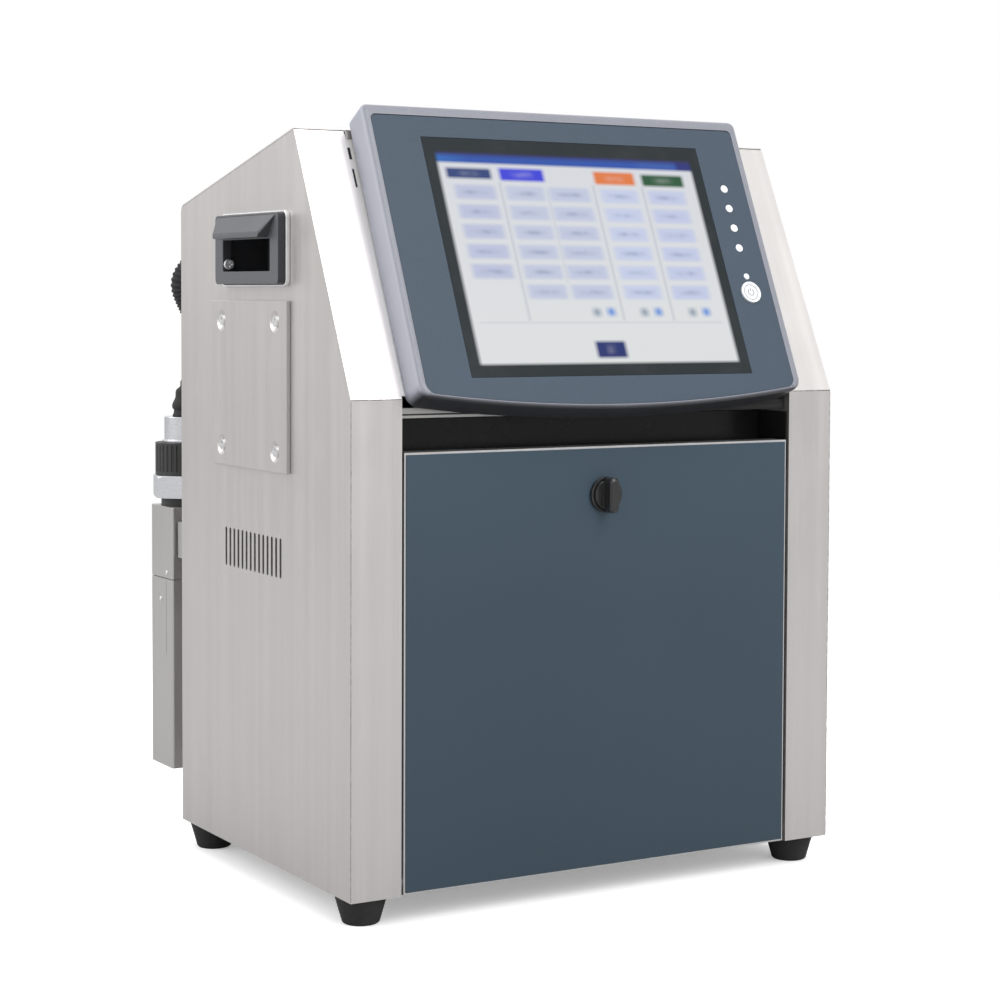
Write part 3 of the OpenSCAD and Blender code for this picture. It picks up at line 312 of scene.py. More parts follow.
def screen_glass(name):
    """Touch glass: a dark border round a lit operating screen of plain blocks."""
    g = Graph(name)
    lit_low = lowest_along("lcd_module", UP_PANEL) + LCD_FRAME
    lit_high = highest_along("lcd_module", UP_PANEL) - LCD_FRAME
    lcd_w = highest_along("lcd_module", ACROSS) - lowest_along("lcd_module", ACROSS)
    lit_w = lcd_w - 2 * LCD_FRAME
    u = g.math("ADD", g.math("DIVIDE", g.dot(g.place, ACROSS), lit_w), 0.5)
    v = g.math(
        "DIVIDE",
        g.math("SUBTRACT", g.dot(g.place, UP_PANEL), lit_low),
        lit_high - lit_low,
    )

    def step(value, edge, blur):
        return g.ramp(value, edge - blur, edge + blur)

    def block(u0, u1, v0, v1, blur=0.009, across=u, up=v):
        """1 inside a soft edged rectangle, 0 outside it."""
        inside_u = g.math("SUBTRACT", step(across, u0, blur), step(across, u1, blur))
        inside_v = g.math("SUBTRACT", step(up, v0, blur), step(up, v1, blur))
        return g.math("MULTIPLY", inside_u, inside_v)

    # Plain page, a little cooler towards the top
    page = g.mix(g.ramp(v, 0.15, 0.9), (0.77, 0.79, 0.8), (0.72, 0.74, 0.78))

    # Five columns of buttons in six rows; the first column has one row less
    row_pitch, row_height, row_base = 0.0945, 0.068, 0.2895
    row_place = g.math("DIVIDE", g.math("SUBTRACT", v, row_base), row_pitch)
    in_row = g.math("FRACT", row_place)
    row_share = row_height / row_pitch
    row = g.math("SUBTRACT", step(in_row, 0.5 - row_share / 2, 0.1),
                 step(in_row, 0.5 + row_share / 2, 0.1))
    rows_all = g.math("SUBTRACT", step(v, 0.29, 0.002), step(v, 0.85, 0.002))
    rows_short = g.math("SUBTRACT", step(v, 0.384, 0.002), step(v, 0.85, 0.002))
    smear = g.ramp(g.noise(110, 1.0), 0.35, 0.65, 0.35, 1.0)
    columns = [(0.043, 0.195), (0.235, 0.382), (0.401, 0.558), (0.604, 0.753), (0.797, 0.948)]
    tints = [(0.54, 0.58, 0.76), (0.57, 0.62, 0.78), (0.57, 0.62, 0.79), (0.6, 0.66, 0.86),
             (0.58, 0.63, 0.84)]
    line = g.math("SUBTRACT", step(in_row, 0.38, 0.09), step(in_row, 0.6, 0.09))
    inset = 0.035
    for i, ((u0, u1), tint) in enumerate(zip(columns, tints)):
        rows = rows_short if i == 0 else rows_all
        column = g.math("SUBTRACT", step(u, u0, 0.012), step(u, u1, 0.012))
        button = g.math("MULTIPLY", g.math("MULTIPLY", column, row), rows)
        page = g.mix(button, page, tint)
        centre = g.math("SUBTRACT", step(u, u0 + inset, 0.02), step(u, u1 - inset, 0.02))
        marks = g.math("MULTIPLY", g.math("MULTIPLY", centre, line), rows)
        marks = g.math("MULTIPLY", marks, g.math("MULTIPLY", smear, 0.45))
        page = g.mix(marks, page, (0.2, 0.25, 0.42))

    # Lines between the groups
    for at, low, high, share in [(0.217, 0.2, 0.86, 0.5), (0.395, 0.38, 0.83, 0.25),
                                 (0.58, 0.2, 0.86, 0.5), (0.778, 0.2, 0.86, 0.5)]:
        rule = g.math("MULTIPLY", block(at - 0.004, at + 0.004, low, high, 0.006), share)
        page = g.mix(rule, page, (0.42, 0.46, 0.56))
    rule = g.math("MULTIPLY", block(0.03, 0.973, 0.189, 0.194, 0.006), 0.5)
    page = g.mix(rule, page, (0.45, 0.5, 0.58))

    # Small page keys, a grey and a blue one below each group
    half_key, key_pitch = 0.014, 0.056
    for grey_u in (0.48, 0.667, 0.861):
        grey_key = block(grey_u - half_key, grey_u + half_key, 0.222, 0.258, 0.012)
        page = g.mix(g.math("MULTIPLY", grey_key, 0.8), page, (0.22, 0.3, 0.4))
        blue_u = grey_u + key_pitch
        blue_key = block(blue_u - half_key, blue_u + half_key, 0.224, 0.26, 0.012)
        page = g.mix(g.math("MULTIPLY", blue_key, 0.9), page, (0.1, 0.28, 0.75))

    # Tabs, title bar and the key at the bottom
    blocks = [
        ((0.025, 0.191, 0.875, 0.924), (0.02, 0.05, 0.2)),
        ((0.224, 0.393, 0.87, 0.93), (0.04, 0.05, 0.72)),
        ((0.592, 0.753, 0.867, 0.929), (0.8, 0.2, 0.05)),
        ((0.784, 0.954, 0.866, 0.923), (0.01, 0.09, 0.03)),
        ((0.445, 0.56, 0.025, 0.102), (0.005, 0.02, 0.16)),
    ]
    for place, color in blocks:
        page = g.mix(block(*place), page, color)
        u0, u1, v0, v1 = place
        word = block(u0 + 0.045, u1 - 0.045, v0 + 0.018, v1 - 0.018, 0.012)
        word = g.math("MULTIPLY", g.math("MULTIPLY", word, smear), 0.2)
        page = g.mix(word, page, (0.8, 0.8, 0.82))
    bar = g.mix(g.ramp(u, 0.0, 0.12), (0.02, 0.14, 0.5), (0.015, 0.08, 0.42))
    bar = g.mix(block(0.78, 0.93, 0.9, 1.1, 0.02), bar, (0.03, 0.1, 0.42))
    bar = g.mix(step(u, 0.94, 0.01), bar, (0.01, 0.02, 0.2))
    bar = g.mix(g.ramp(v, 0.975, 1.0), bar, (0.02, 0.02, 0.12))
    page = g.mix(step(v, 0.95, 0.008), page, bar)

    lit = block(0, 1, 0, 1, 0.008)
    border = (0.024, 0.029, 0.032)
    dust = g.ramp(g.noise(40, 4.0), 0.5, 0.8, 0.0, 0.06)
    g.set(color=g.mix(lit, g.mix(dust, border, (0.2, 0.2, 0.2)), (0.02, 0.02, 0.02)),
          glow=page, glow_strength=g.math("MULTIPLY", lit, SCREEN_GLOW), specular=0.06,
          rough=g.ramp(g.noise(60, 3.0), 0.3, 0.7, 0.2, 0.28))
    return g.material


# ---------------------------------------------------------------- mesh helpers


def new_piece(name, mesh, body, material, smooth=True):
    """Puts a bmesh in the scene as a piece that rides on a body."""
    bmesh.ops.recalc_face_normals(mesh, faces=mesh.faces)
    data = bpy.data.meshes.new(name)
    mesh.to_mesh(data)
    mesh.free()
    for face in data.polygons:
        face.use_smooth = smooth
    data.materials.append(material)
    piece = bpy.data.objects.new(name, data)
    bpy.context.scene.collection.objects.link(piece)
    if body:
        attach(piece, body)
    return piece


def spline(points, step):
    """Smooth curve through points, sampled at roughly even steps."""
    curve = []
    last = len(points) - 1
    for i in range(last):
        a, b = points[max(i - 1, 0)], points[i]
        c, d = points[i + 1], points[min(i + 2, last)]
        count = max(2, round((c - b).length / step))
        for k in range(count):
            t = k / count
            curve.append(0.5 * (2 * b + (c - a) * t + (2 * a - 5 * b + 4 * c - d) * t**2
                                + (3 * b - a - 3 * c + d) * t**3))
    curve.append(points[-1].copy())
    return curve


def sweep(mesh, path, radius_at, sides=24, side=ACROSS):
    """Closed round tube along a path; radius_at gives the radius at a length along it."""
    rings = []
    length = 0.0
    for i, point in enumerate(path):
        length += (point - path[i - 1]).length if i else 0.0
        along = (path[min(i + 1, len(path) - 1)] - path[max(i - 1, 0)]).normalized()
        u = side.cross(along).normalized()
        v = along.cross(u)
        radius = radius_at(length)
        turn = [2 * math.pi * k / sides for k in range(sides)]
        rings.append([mesh.verts.new(point + radius * (u * math.cos(a) + v * math.sin(a)))
                      for a in turn])
    for near, far in zip(rings, rings[1:]):
        for k in range(sides):
            mesh.faces.new((near[k], near[(k + 1) % sides], far[(k + 1) % sides], far[k]))
    mesh.faces.new(rings[0][::-1])
    mesh.faces.new(rings[-1])


def ring_plate(mesh, centre, right, up, inner, outer, thick, start=0.0, end=360.0, steps=48):
    """Flat ring or arc of a ring that stands off the plane of right and up."""
    out = right.cross(up).normalized()
    full = abs(end - start - 360.0) < 1e-6
    rows = []
    for k in range(steps + (0 if full else 1)):
        angle = math.radians(start + (end - start) * k / steps)
        ray = right * math.cos(angle) + up * math.sin(angle)
        rows.append([mesh.verts.new(centre + ray * r + out * h)
                     for r, h in ((inner, 0), (outer, 0), (outer, thick), (inner, thick))])
    spans = list(zip(rows, rows[1:] + rows[:1])) if full else list(zip(rows, rows[1:]))
    for near, far in spans:
        for k in range(4):
            mesh.faces.new((near[k], near[(k + 1) % 4], far[(k + 1) % 4], far[k]))
    if not full:
        mesh.faces.new(rows[0])
        mesh.faces.new(rows[-1][::-1])


def slab(mesh, centre, right, up, width, height, thick):
    """Thin box that stands off the plane of right and up."""
    out = right.cross(up).normalized()
    corners = [centre + right * (width / 2 * a) + up * (height / 2 * b) + out * c
               for c in (0, thick) for a, b in ((-1, -1), (1, -1), (1, 1), (-1, 1))]
    verts = [mesh.verts.new(c) for c in corners]
    for face in ((3, 2, 1, 0), (4, 5, 6, 7), (0, 1, 5, 4), (1, 2, 6, 5), (2, 3, 7, 6),
                 (3, 0, 4, 7)):
        mesh.faces.new([verts[k] for k in face])


# ---------------------------------------------------------------- materials of the CAD nodes

steel = brushed_steel("stainless_sheet", (0.6, 0.58, 0.57))
# Lit copy of the sheet steel: painted light makes the left side panel's sloped faces paler
steel_painted_light = brushed_steel("stainless_left_painted_light", (0.6, 0.58, 0.57), slope_light=1.6)
# Near-white, hardly metallic copy of the steel: painted light on the pillar lips, which lie in
# shade
lip_painted_light = brushed_steel("stainless_lip_painted_light", (0.95, 0.94, 0.93), rough=0.5, metal=0.1, marks=0.3)
inner_steel = brushed_steel("inner_sheet", (0.62, 0.62, 0.62), rough=0.32)
head_steel = brushed_steel("head_steel", (0.5, 0.49, 0.48), rough=0.33, marks=0.6)
# Ledge steel with painted shade that darkens it near the front, to the right of 20 mm across
ledge_steel_painted_shade = brushed_steel("ledge_steel_painted_shade", (0.44, 0.435, 0.43), rough=0.45, painted_shade_from=20 * MM)
door_paint_painted_shading = powder_coat("door_paint_painted_shading", (0.041, 0.066, 0.091), 0.36)
# Bezel with painted light and shade: its left faces paler, its right faces darker, its underside
# very dark
bezel_painted_shading = moulded_plastic("bezel_plastic_painted_shading", (0.23, 0.237, 0.275), 0.35, 900, 0.05, 0.1,
                              painted_shading=[(-ACROSS, 1.6), (ACROSS, 0.7), (-UP_PANEL, 0.13)])
shell_plastic = moulded_plastic("shell_plastic", (0.3, 0.31, 0.34), 0.5)
overlay_print = moulded_plastic("overlay_print", (0.062, 0.084, 0.114), 0.4, 1200, 0.04,
                                specular=0.15)
glass = screen_glass("screen_glass")
lamp_lens = moulded_plastic("lamp_lens", (0.85, 0.87, 0.9), 0.25, 500, 0.02, 0.3)
# Painted shade: the handle's faces that look to the front are darker
handle_plastic_painted_shade = moulded_plastic("handle_plastic_painted_shade", (0.099, 0.102, 0.112), 0.42,
                                 painted_shading=[(Vector((0, -1, 0)), 0.4)])
fascia_gloss = moulded_plastic("fascia_gloss", (0.014, 0.014, 0.014), 0.25, 300, 0.05, specular=0.2)
black_plastic = moulded_plastic("black_plastic", (0.02, 0.02, 0.021), 0.25, 500, 0.04, 0.3)
matt_plastic = moulded_plastic("matt_black_plastic", (0.02, 0.02, 0.021), 0.55, 600, 0.15)
grip_plastic = moulded_plastic("grip_plastic", (0.034, 0.034, 0.035), 0.5, 600, 0.15)
foot_rubber = rubber("foot_rubber", (0.018, 0.018, 0.019))
hose_rubber = rubber("hose_rubber", (0.016, 0.016, 0.018))
sleeve_clear = moulded_plastic("clear_sleeve", (0.62, 0.74, 0.68), 0.3)
zinc = plated_metal("zinc_plate", (0.75, 0.75, 0.77), 0.22)
turned = plated_metal("turned_metal", (0.72, 0.73, 0.76), 0.24, True)
rim_metal = plated_metal("handle_rim", (0.9, 0.9, 0.9), 0.35)
chrome = plated_metal("bright_screw", (0.85, 0.85, 0.86), 0.12)
plate_silver = plated_metal("plate_silver", (0.78, 0.78, 0.79), 0.45)
bright_zinc = plated_metal("bright_zinc", (0.95, 0.95, 0.95), 0.5)
brass = plated_metal("brass_fittings", (0.62, 0.5, 0.27), 0.28)
tank_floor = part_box("ink_tank")[0].z
ink_plastic = cloudy_plastic("ink_tank_plastic", (0.66, 0.66, 0.6), (0.012, 0.014, 0.03),
                             tank_floor + 95 * MM)
solvent_plastic = cloudy_plastic("solvent_tank_plastic", (0.72, 0.74, 0.74), (0.5, 0.54, 0.56),
                                 tank_floor + 80 * MM)
cap_red = moulded_plastic("cap_red", (0.45, 0.03, 0.02), 0.35)
filter_white = moulded_plastic("filter_white", (0.75, 0.76, 0.74), 0.4)
board = circuit_board("circuit_board")

# Material, width of the softened edges in mm, and the nodes that have them
FINISHES = [
    (steel_painted_light, 0.0, ["left_side_panel"]),
    (steel, 0.45, ["right_side_panel", "top_cover", "cover_plate"]),
    (steel, 0.3, ["back_panel"]),
    (head_steel, 0.5, ["head_body", "head_cover", "head_holder"]),
    (inner_steel, 0.3, ["base_pan", "shelf", "door_pan", "power_supply", "valve_manifold",
                        "lcd_module"]),
    (ledge_steel_painted_shade, 0.3, ["front_bulkhead"]),
    (door_paint_painted_shading, 0.2, ["door_skin"]),
    (fascia_gloss, 0.3, ["recess_fascia"]),
    (bezel_painted_shading, 0.4, ["panel_bezel"]),
    (shell_plastic, 0.6, ["panel_back_shell"]),
    (overlay_print, 0.12, ["overlay_film"]),
    (glass, 0.15, ["touch_glass"]),
    (lamp_lens, 0.25, ["status_leds", "power_button"]),
    (handle_plastic_painted_shade, 0.6, ["carry_handles"]),
    (rim_metal, 0.6, ["handle_rims"]),
    (black_plastic, 0.3, ["latch_bushing", "latch_knob", "ink_cap"]),
    (matt_plastic, 0.3, ["regulator_knob", "solenoid_valves", "pump_motor", "fan_frame",
                         "fan_rotor", "power_inlet", "cable_gland"]),
    (grip_plastic, 0.3, ["head_grip"]),
    (black_plastic, 0.2, ["mains_rocker"]),
    (cap_red, 0.3, ["solvent_cap"]),
    (foot_rubber, 0.5, ["rubber_feet"]),
    (hose_rubber, 0.0, ["supply_hoses"]),
    (zinc, 0.2, ["foot_screws", "door_hinge_pins", "latch_cam", "fixed_hinge_leaves",
                 "panel_hinge_leaves", "panel_hinge_pins", "pump_shaft", "io_connectors"]),
    (zinc, 0.0, ["fan_guard"]),
    (chrome, 0.15, ["plate_screws"]),
    (bright_zinc, 0.15, ["handle_screws"]),
    (turned, 0.4, ["head_ring_nut", "head_hex_nut"]),
    (brass, 0.2, ["nozzle_block", "pump_head"]),
    (ink_plastic, 1.0, ["ink_tank"]),
    (solvent_plastic, 1.0, ["solvent_tank"]),
    (filter_white, 0.5, ["ink_filter"]),
    (board, 0.1, ["main_board"]),
]


# Plates with windows, whose flat faces stay as triangles
WINDOWED = ["overlay_film", "panel_bezel"]
# Folded sheets with vents and openings, whose faces stay flat up to their sharp edges
FLAT_SHEETS = ["left_side_panel", "right_side_panel"]


def soften(node, width):
    """Joins the split faces of a node, rounds its edges and shades it smoothly."""
    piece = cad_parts[node]
    if node in FLAT_SHEETS:
        for face in piece.data.polygons:
            face.use_smooth = False
        return
    piece.modifiers.new("join", "WELD").merge_threshold = 0.001 * MM
    if node not in WINDOWED:
        flat = piece.modifiers.new("flat", "DECIMATE")
        flat.decimate_type = "DISSOLVE"
        flat.angle_limit = math.radians(1)
    if width:
        edge = piece.modifiers.new("edge", "BEVEL")
        edge.width = width * MM
        edge.segments = 2
        edge.limit_method = "ANGLE"
        edge.angle_limit = math.radians(30)
        edge.use_clamp_overlap = False
    piece.modifiers.new("shade", "WEIGHTED_NORMAL").weight = 100


for material, width, nodes in FINISHES:
    for node in nodes:
        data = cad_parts[node].data
        data.materials.clear()
        data.materials.append(material)
        for face in data.polygons:
            face.material_index = 0
            face.use_smooth = True
        soften(node, width)

# ---------------------------------------------------------------- conduit of the print head

gland_low, gland_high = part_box("cable_gland")
nut_low, nut_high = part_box("head_ring_nut")
GLAND = Vector(((gland_low.x + gland_high.x) / 2, gland_high.y, (gland_low.z + gland_high.z) / 2))
NUT = Vector(((nut_low.x + nut_high.x) / 2, (nut_low.y + nut_high.y) / 2, nut_high.z))
HOSE_R = 11.4 * MM
FINE_RIB = 2.6 * MM
COARSE_RIB = 8 * MM


def conduit_path():
    """From inside the gland, round the bulge beside the cabinet and down into the ring nut."""
    return spline([
        GLAND + Vector((0, -18, 0)) * MM,
        GLAND + Vector((0, 1, 0)) * MM,
        GLAND + Vector((0, 9, 0)) * MM,
        GLAND + Vector((-11, 24, -2)) * MM,
        Vector((GLAND.x - 27 * MM, NUT.y - 3 * MM, GLAND.z - 12 * MM)),
        Vector((NUT.x - 1.0 * MM, NUT.y, GLAND.z - 30 * MM)),
        Vector((NUT.x + 9 * MM, NUT.y, GLAND.z - 56 * MM)),
        Vector((NUT.x + 14 * MM, NUT.y, GLAND.z - 80 * MM)),
        NUT + Vector((9.5, 0, 31)) * MM,
        NUT + Vector((1, 0, 13)) * MM,
        NUT + Vector((0, 0, 5)) * MM,
        NUT,
        NUT + Vector((0, 0, -8)) * MM,
    ], 0.36 * MM)


path = conduit_path()
length = sum((b - a).length for a, b in zip(path, path[1:]))
PLAIN_END = 22 * MM


def rib_radius(at):
    """Fine ribs along the hose, coarse ones on the bend relief above the ring nut."""
    from_nut = length - at
    if at < PLAIN_END or from_nut < 9 * MM:
        return HOSE_R - 0.4 * MM
    if from_nut < 60 * MM:
        wave = math.cos(2 * math.pi * from_nut / COARSE_RIB)
        return HOSE_R - 0.7 * MM + 0.7 * MM * wave
    wave = math.cos(2 * math.pi * at / FINE_RIB)
    return HOSE_R - 0.45 * MM + 0.45 * MM * math.copysign(abs(wave) ** 0.6, wave)


mesh = bmesh.new()
sweep(mesh, path, rib_radius, 32)
conduit = new_piece("corrugated_conduit", mesh, None, hose_rubber)
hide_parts("head_conduit")
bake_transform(conduit)

# Clear sleeve that runs out of the gland over the first part of the hose
sleeve_path = [p for p in path if p.y > GLAND.y + 0.5 * MM and p.z > GLAND.z - 17 * MM]
mesh = bmesh.new()
sweep(mesh, sleeve_path[::3], lambda at: HOSE_R + 0.8 * MM, 32)
sleeve = new_piece("gland_sleeve", mesh, None, sleeve_clear)
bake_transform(sleeve)

# ---------------------------------------------------------------- signs on the operator panel

print_grey = moulded_plastic("print_grey", (0.2, 0.215, 0.24), 0.4)
lens_centre = moulded_plastic("lens_centre", (0.8, 0.84, 0.9), 0.2)


def groups_up_panel(node, gap):
    """Splits a node's points into groups along the panel's height, lowest first."""
    points = sorted(node_points(node), key=lambda p: p.dot(UP_PANEL))
    groups = [[points[0]]]
    for before, point in zip(points, points[1:]):
        if (point - before).dot(UP_PANEL) > gap:
            groups.append([])
        groups[-1].append(point)
    return groups


def front_centre(points):
    """Middle of the front face of a round piece on the panel."""
    def middle(direction):
        along = [p.dot(direction) for p in points]
        return direction * ((min(along) + max(along)) / 2)

    return middle(ACROSS) + middle(UP_PANEL) + OUT_PANEL * max(p.dot(OUT_PANEL) for p in points)


PRINT_T = 0.06 * MM

mesh = bmesh.new()
for lamp in groups_up_panel("status_leds", 3 * MM):
    ring_plate(mesh, front_centre(lamp), ACROSS, UP_PANEL, 0.01 * MM, 1.5 * MM, PRINT_T, steps=24)
new_piece("lamp_centres", mesh, "operator_panel", lens_centre)

button_rim = highest_along("power_button", OUT_PANEL)
KEY = box_mid("power_button")
KEY = KEY + OUT_PANEL * (button_rim - 0.7 * MM - KEY.dot(OUT_PANEL))
mesh = bmesh.new()
ring_plate(mesh, KEY, ACROSS, UP_PANEL, 5.5 * MM, 6.0 * MM, PRINT_T)
ring_plate(mesh, KEY, ACROSS, UP_PANEL, 2.1 * MM, 2.8 * MM, PRINT_T, 125, 415, 32)
slab(mesh, KEY + UP_PANEL * 2.1 * MM, ACROSS, UP_PANEL, 0.7 * MM, 2.7 * MM, PRINT_T)
new_piece("power_sign", mesh, "power_key", print_grey, smooth=False)

# ---------------------------------------------------------------- weld seams of the pillars

seam_metal = plated_metal("weld_seam", (0.3, 0.285, 0.27), 0.5)


def bead(mesh, start, end, radius, seed):
    """Thin uneven weld bead between two points."""
    random = Random(seed)
    steps = max(12, round((end - start).length / (2.2 * MM)))
    path = [start.lerp(end, k / steps) for k in range(steps + 1)]
    side = Vector((0, 0, 1)) if abs((end - start).normalized().z) < 0.5 else ACROSS
    sizes = [radius * random.uniform(0.55, 1.15) for _ in path]
    step = (end - start).length / steps
    sweep(mesh, path, lambda at: sizes[min(steps, round(at / step))], 8, side)


side_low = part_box("left_side_panel")[0]
KINK_Z = max(p.z for p in node_points("left_side_panel") if abs(p.y - side_low.y) < 0.01 * MM)
mesh = bmesh.new()
PILLAR_W = 37 * MM
for sign in (1, -1):
    corner_x = sign * (side_low.x + 0.12 * MM)
    bead(mesh, Vector((corner_x, side_low.y + 0.12 * MM, side_low.z + 1 * MM)),
         Vector((corner_x, side_low.y + 0.12 * MM, KINK_Z - 1 * MM)), 0.3 * MM, 3)
    bead(mesh, Vector((corner_x, side_low.y + 0.1 * MM, KINK_Z)),
         Vector((sign * (side_low.x + PILLAR_W), side_low.y + 0.1 * MM, KINK_Z)), 0.42 * MM, 5)
new_piece("pillar_welds", mesh, "cabinet", seam_metal)

# Lips of the pillars behind the gap at the operator panel, with their slots
FOOT_OF_SLOPE = Vector((0, side_low.y, KINK_Z))
LIP_X, LIP_W, LIP_T, LIP_LENGTH, LIP_MID = (n * MM for n in (157.6, 2.5, 0.9, 196, 101))
LIP_DEPTH = 1.0 * MM
# Edges of the sheet that goes on from the lip under the bezel, and how far behind the bezel it lies
SHEET_OUTER, SHEET_INNER, SHEET_T, SHEET_GAP = (n * MM for n in (156.5, 151, 0.4, 0.9))
# Height up the slope, width and height of the slots
LIP_SLOTS = ((184, 2.3, 9), (165, 1.3, 14))


def lip_sheet(mesh, sign):
    """Sheet from the lip to under the bezel, just behind the bezel's back face."""
    back_face = lowest_along("panel_bezel", OUT_PANEL) - FOOT_OF_SLOPE.dot(OUT_PANEL)
    rows = []
    for k in range(15):
        at = (3 + 14 * k) * MM
        rise = (back_face - at * UP_SLOPE.dot(OUT_PANEL)) / OUT_SLOPE.dot(OUT_PANEL)
        inner = min(-LIP_DEPTH, rise - SHEET_GAP)
        base = FOOT_OF_SLOPE + UP_SLOPE * at
        section = ((SHEET_OUTER, -LIP_DEPTH), (SHEET_INNER, inner),
                   (SHEET_INNER, inner - SHEET_T), (SHEET_OUTER, -LIP_DEPTH - SHEET_T))
        rows.append([mesh.verts.new(base + ACROSS * (sign * across) + OUT_SLOPE * depth)
                     for across, depth in section])
    for near, far in zip(rows, rows[1:]):
        for k in range(4):
            mesh.faces.new((near[k], near[(k + 1) % 4], far[(k + 1) % 4], far[k]))
    mesh.faces.new(rows[0])
    mesh.faces.new(rows[-1][::-1])


strips, slots = bmesh.new(), bmesh.new()
for sign in (-1, 1):
    lip_sheet(strips, sign)
    lip = FOOT_OF_SLOPE + ACROSS * (sign * LIP_X) - OUT_SLOPE * (LIP_DEPTH + LIP_T)
    slab(strips, lip + UP_SLOPE * LIP_MID, ACROSS, UP_SLOPE, LIP_W, LIP_LENGTH, LIP_T)
    for up_at, wide, high in LIP_SLOTS:
        slab(slots, lip + UP_SLOPE * up_at * MM, ACROSS, UP_SLOPE, wide * MM, high * MM,
             LIP_T + 0.2 * MM)
# The lips and their sheet under the bezel are near-white: painted light in the shaded gap
new_piece("pillar_lips", strips, "cabinet", lip_painted_light, smooth=False)
# The slots are flat black slabs on the lips: painted shade in the slot holes
new_piece("lip_slot_shades", slots, "cabinet", matt_plastic, smooth=False)

BACK, LEFT, UP = Vector((0, 1, 0)), Vector((0, -1, 0)), Vector((0, 0, 1))

# Black strip along the ledge under the operator panel: painted shade of a groove
mesh = bmesh.new()
slab(mesh, Vector((0, side_low.y + 6 * MM, KINK_Z - 10.6 * MM)), ACROSS, UP, 317 * MM, 1.1 * MM,
     0.1 * MM)
new_piece("ledge_groove_shade", mesh, "cabinet", matt_plastic, smooth=False)

# Small screws and the cover line of the print head's left face
cover_low, cover_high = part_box("head_cover")
cover_corner = Vector((cover_low.x, cover_low.y, cover_high.z))
HEAD_SCREWS = (("head_screw", "print_head", 10.5, 5), ("cover_screw", "head_shell", 23, -16.5))
for name, body, y, z in HEAD_SCREWS:
    mesh = bmesh.new()
    ring_plate(mesh, cover_corner + Vector((0, y, z)) * MM, LEFT, UP, 0.4 * MM, 1.8 * MM, 0.5 * MM,
               steps=20)
    new_piece(name, mesh, body, chrome)
mesh = bmesh.new()
slab(mesh, cover_corner + Vector((0, 12, -30)) * MM, LEFT, UP, 0.5 * MM, 58 * MM, 0.06 * MM)
new_piece("cover_line", mesh, "head_shell", seam_metal, smooth=False)

# Screws that hold the back panel and the top cover, and a blank plate on the back


def pan_screw(heads, slots, at, out, up, radius):
    """Domed screw head with a cross slot, standing on a face that looks along out."""
    right = up.cross(out)
    sides = 20
    rays = [right * math.cos(2 * math.pi * k / sides) + up * math.sin(2 * math.pi * k / sides)
            for k in range(sides)]
    # Reach and rise of the dome's rings, and rise of the slot, as shares of the radius
    rows = [[heads.verts.new(at + out * (radius * rise) + ray * (radius * reach)) for ray in rays]
            for reach, rise in ((1.0, -0.1), (1.0, 0.3), (0.85, 0.52), (0.55, 0.66))]
    slot_rise = 0.655
    for near, far in zip(rows, rows[1:]):
        for k in range(sides):
            heads.faces.new((near[k], near[(k + 1) % sides], far[(k + 1) % sides], far[k]))
    heads.faces.new(rows[0][::-1])
    heads.faces.new(rows[-1])
    # The cross slot is two flat black slabs: painted shade in the recess
    for wide, high in ((1.0, 0.22), (0.22, 1.0)):
        slab(slots, at + out * (radius * slot_rise), right, up, radius * wide, radius * high,
             0.02 * radius)


back_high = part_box("back_panel")[1]
top_points = node_points("top_cover")
top_front = max(top_points, key=lambda p: p.z)
top_back = max((p for p in top_points if p.y > back_high.y - 0.1 * MM), key=lambda p: p.z)
down_top = Vector((0, top_back.y - top_front.y, top_back.z - top_front.z))
top_length = down_top.length
down_top.normalize()
BACK_SCREWS = ([(x, z) for x in (-187, 187) for z in (45, 130, 300, 385, 466)]
               + [(x, z) for x in (-95, 0, 95) for z in (33, 472)])
TOP_SCREW_X = 188 * MM
heads, slots = bmesh.new(), bmesh.new()
for x, z in BACK_SCREWS:
    pan_screw(heads, slots, Vector((x * MM, back_high.y, z * MM)), BACK, UP, 3.2 * MM)
for side in (-1, 1):
    for share in (0.12, 0.5, 0.9):
        at = (Vector((side * TOP_SCREW_X, top_front.y, top_front.z))
              + down_top * (top_length * share))
        pan_screw(heads, slots, at, ACROSS.cross(down_top), down_top, 2.8 * MM)
new_piece("cover_screws", heads, "cabinet", zinc)
new_piece("cover_screw_slot_shades", slots, "cabinet", matt_plastic, smooth=False)
mesh = bmesh.new()
slab(mesh, Vector((75 * MM, back_high.y, 175 * MM)), -ACROSS, UP, 64 * MM, 40 * MM, 0.5 * MM)
new_piece("blank_plate", mesh, "cabinet", plate_silver, smooth=False)

# ---------------------------------------------------------------- stage, light and camera

FLOOR_SIZE = 30.0
# Glow that lifts the floor to the white of the background, for the camera only
FLOOR_LIFT = 0.3
# Share of the light that the floor sends back up at the printer
BOUNCE = 0.5
# Distances between which the floor fades into the background
FADE_NEAR, FADE_FAR = 0.5, 1.6
mesh = bmesh.new()
bmesh.ops.create_circle(mesh, cap_ends=True, segments=96, radius=FLOOR_SIZE)
floor_data = bpy.data.meshes.new("floor")
mesh.to_mesh(floor_data)
mesh.free()
floor = bpy.data.objects.new("floor", floor_data)
bpy.context.scene.collection.objects.link(floor)
paper = Graph("pale_floor")
seen = paper.add("ShaderNodeLightPath")
pale = paper.mix(paper.noise(3, 2.0), (0.9, 0.9, 0.9), (0.93, 0.93, 0.93))
paper.set(color=paper.mix(seen, (BOUNCE, BOUNCE, BOUNCE), pale), rough=0.9, specular=0.1)
distance = paper.add("ShaderNodeVectorMath", {0: paper.place}, out=1, operation="LENGTH")
far = paper.ramp(distance, FADE_NEAR, FADE_FAR)
paper.set(glow=(1, 1, 1), glow_strength=paper.math("MULTIPLY", seen, FLOOR_LIFT))
plain = paper.add("ShaderNodeEmission", {"Color": (1, 1, 1), "Strength": 1.0})
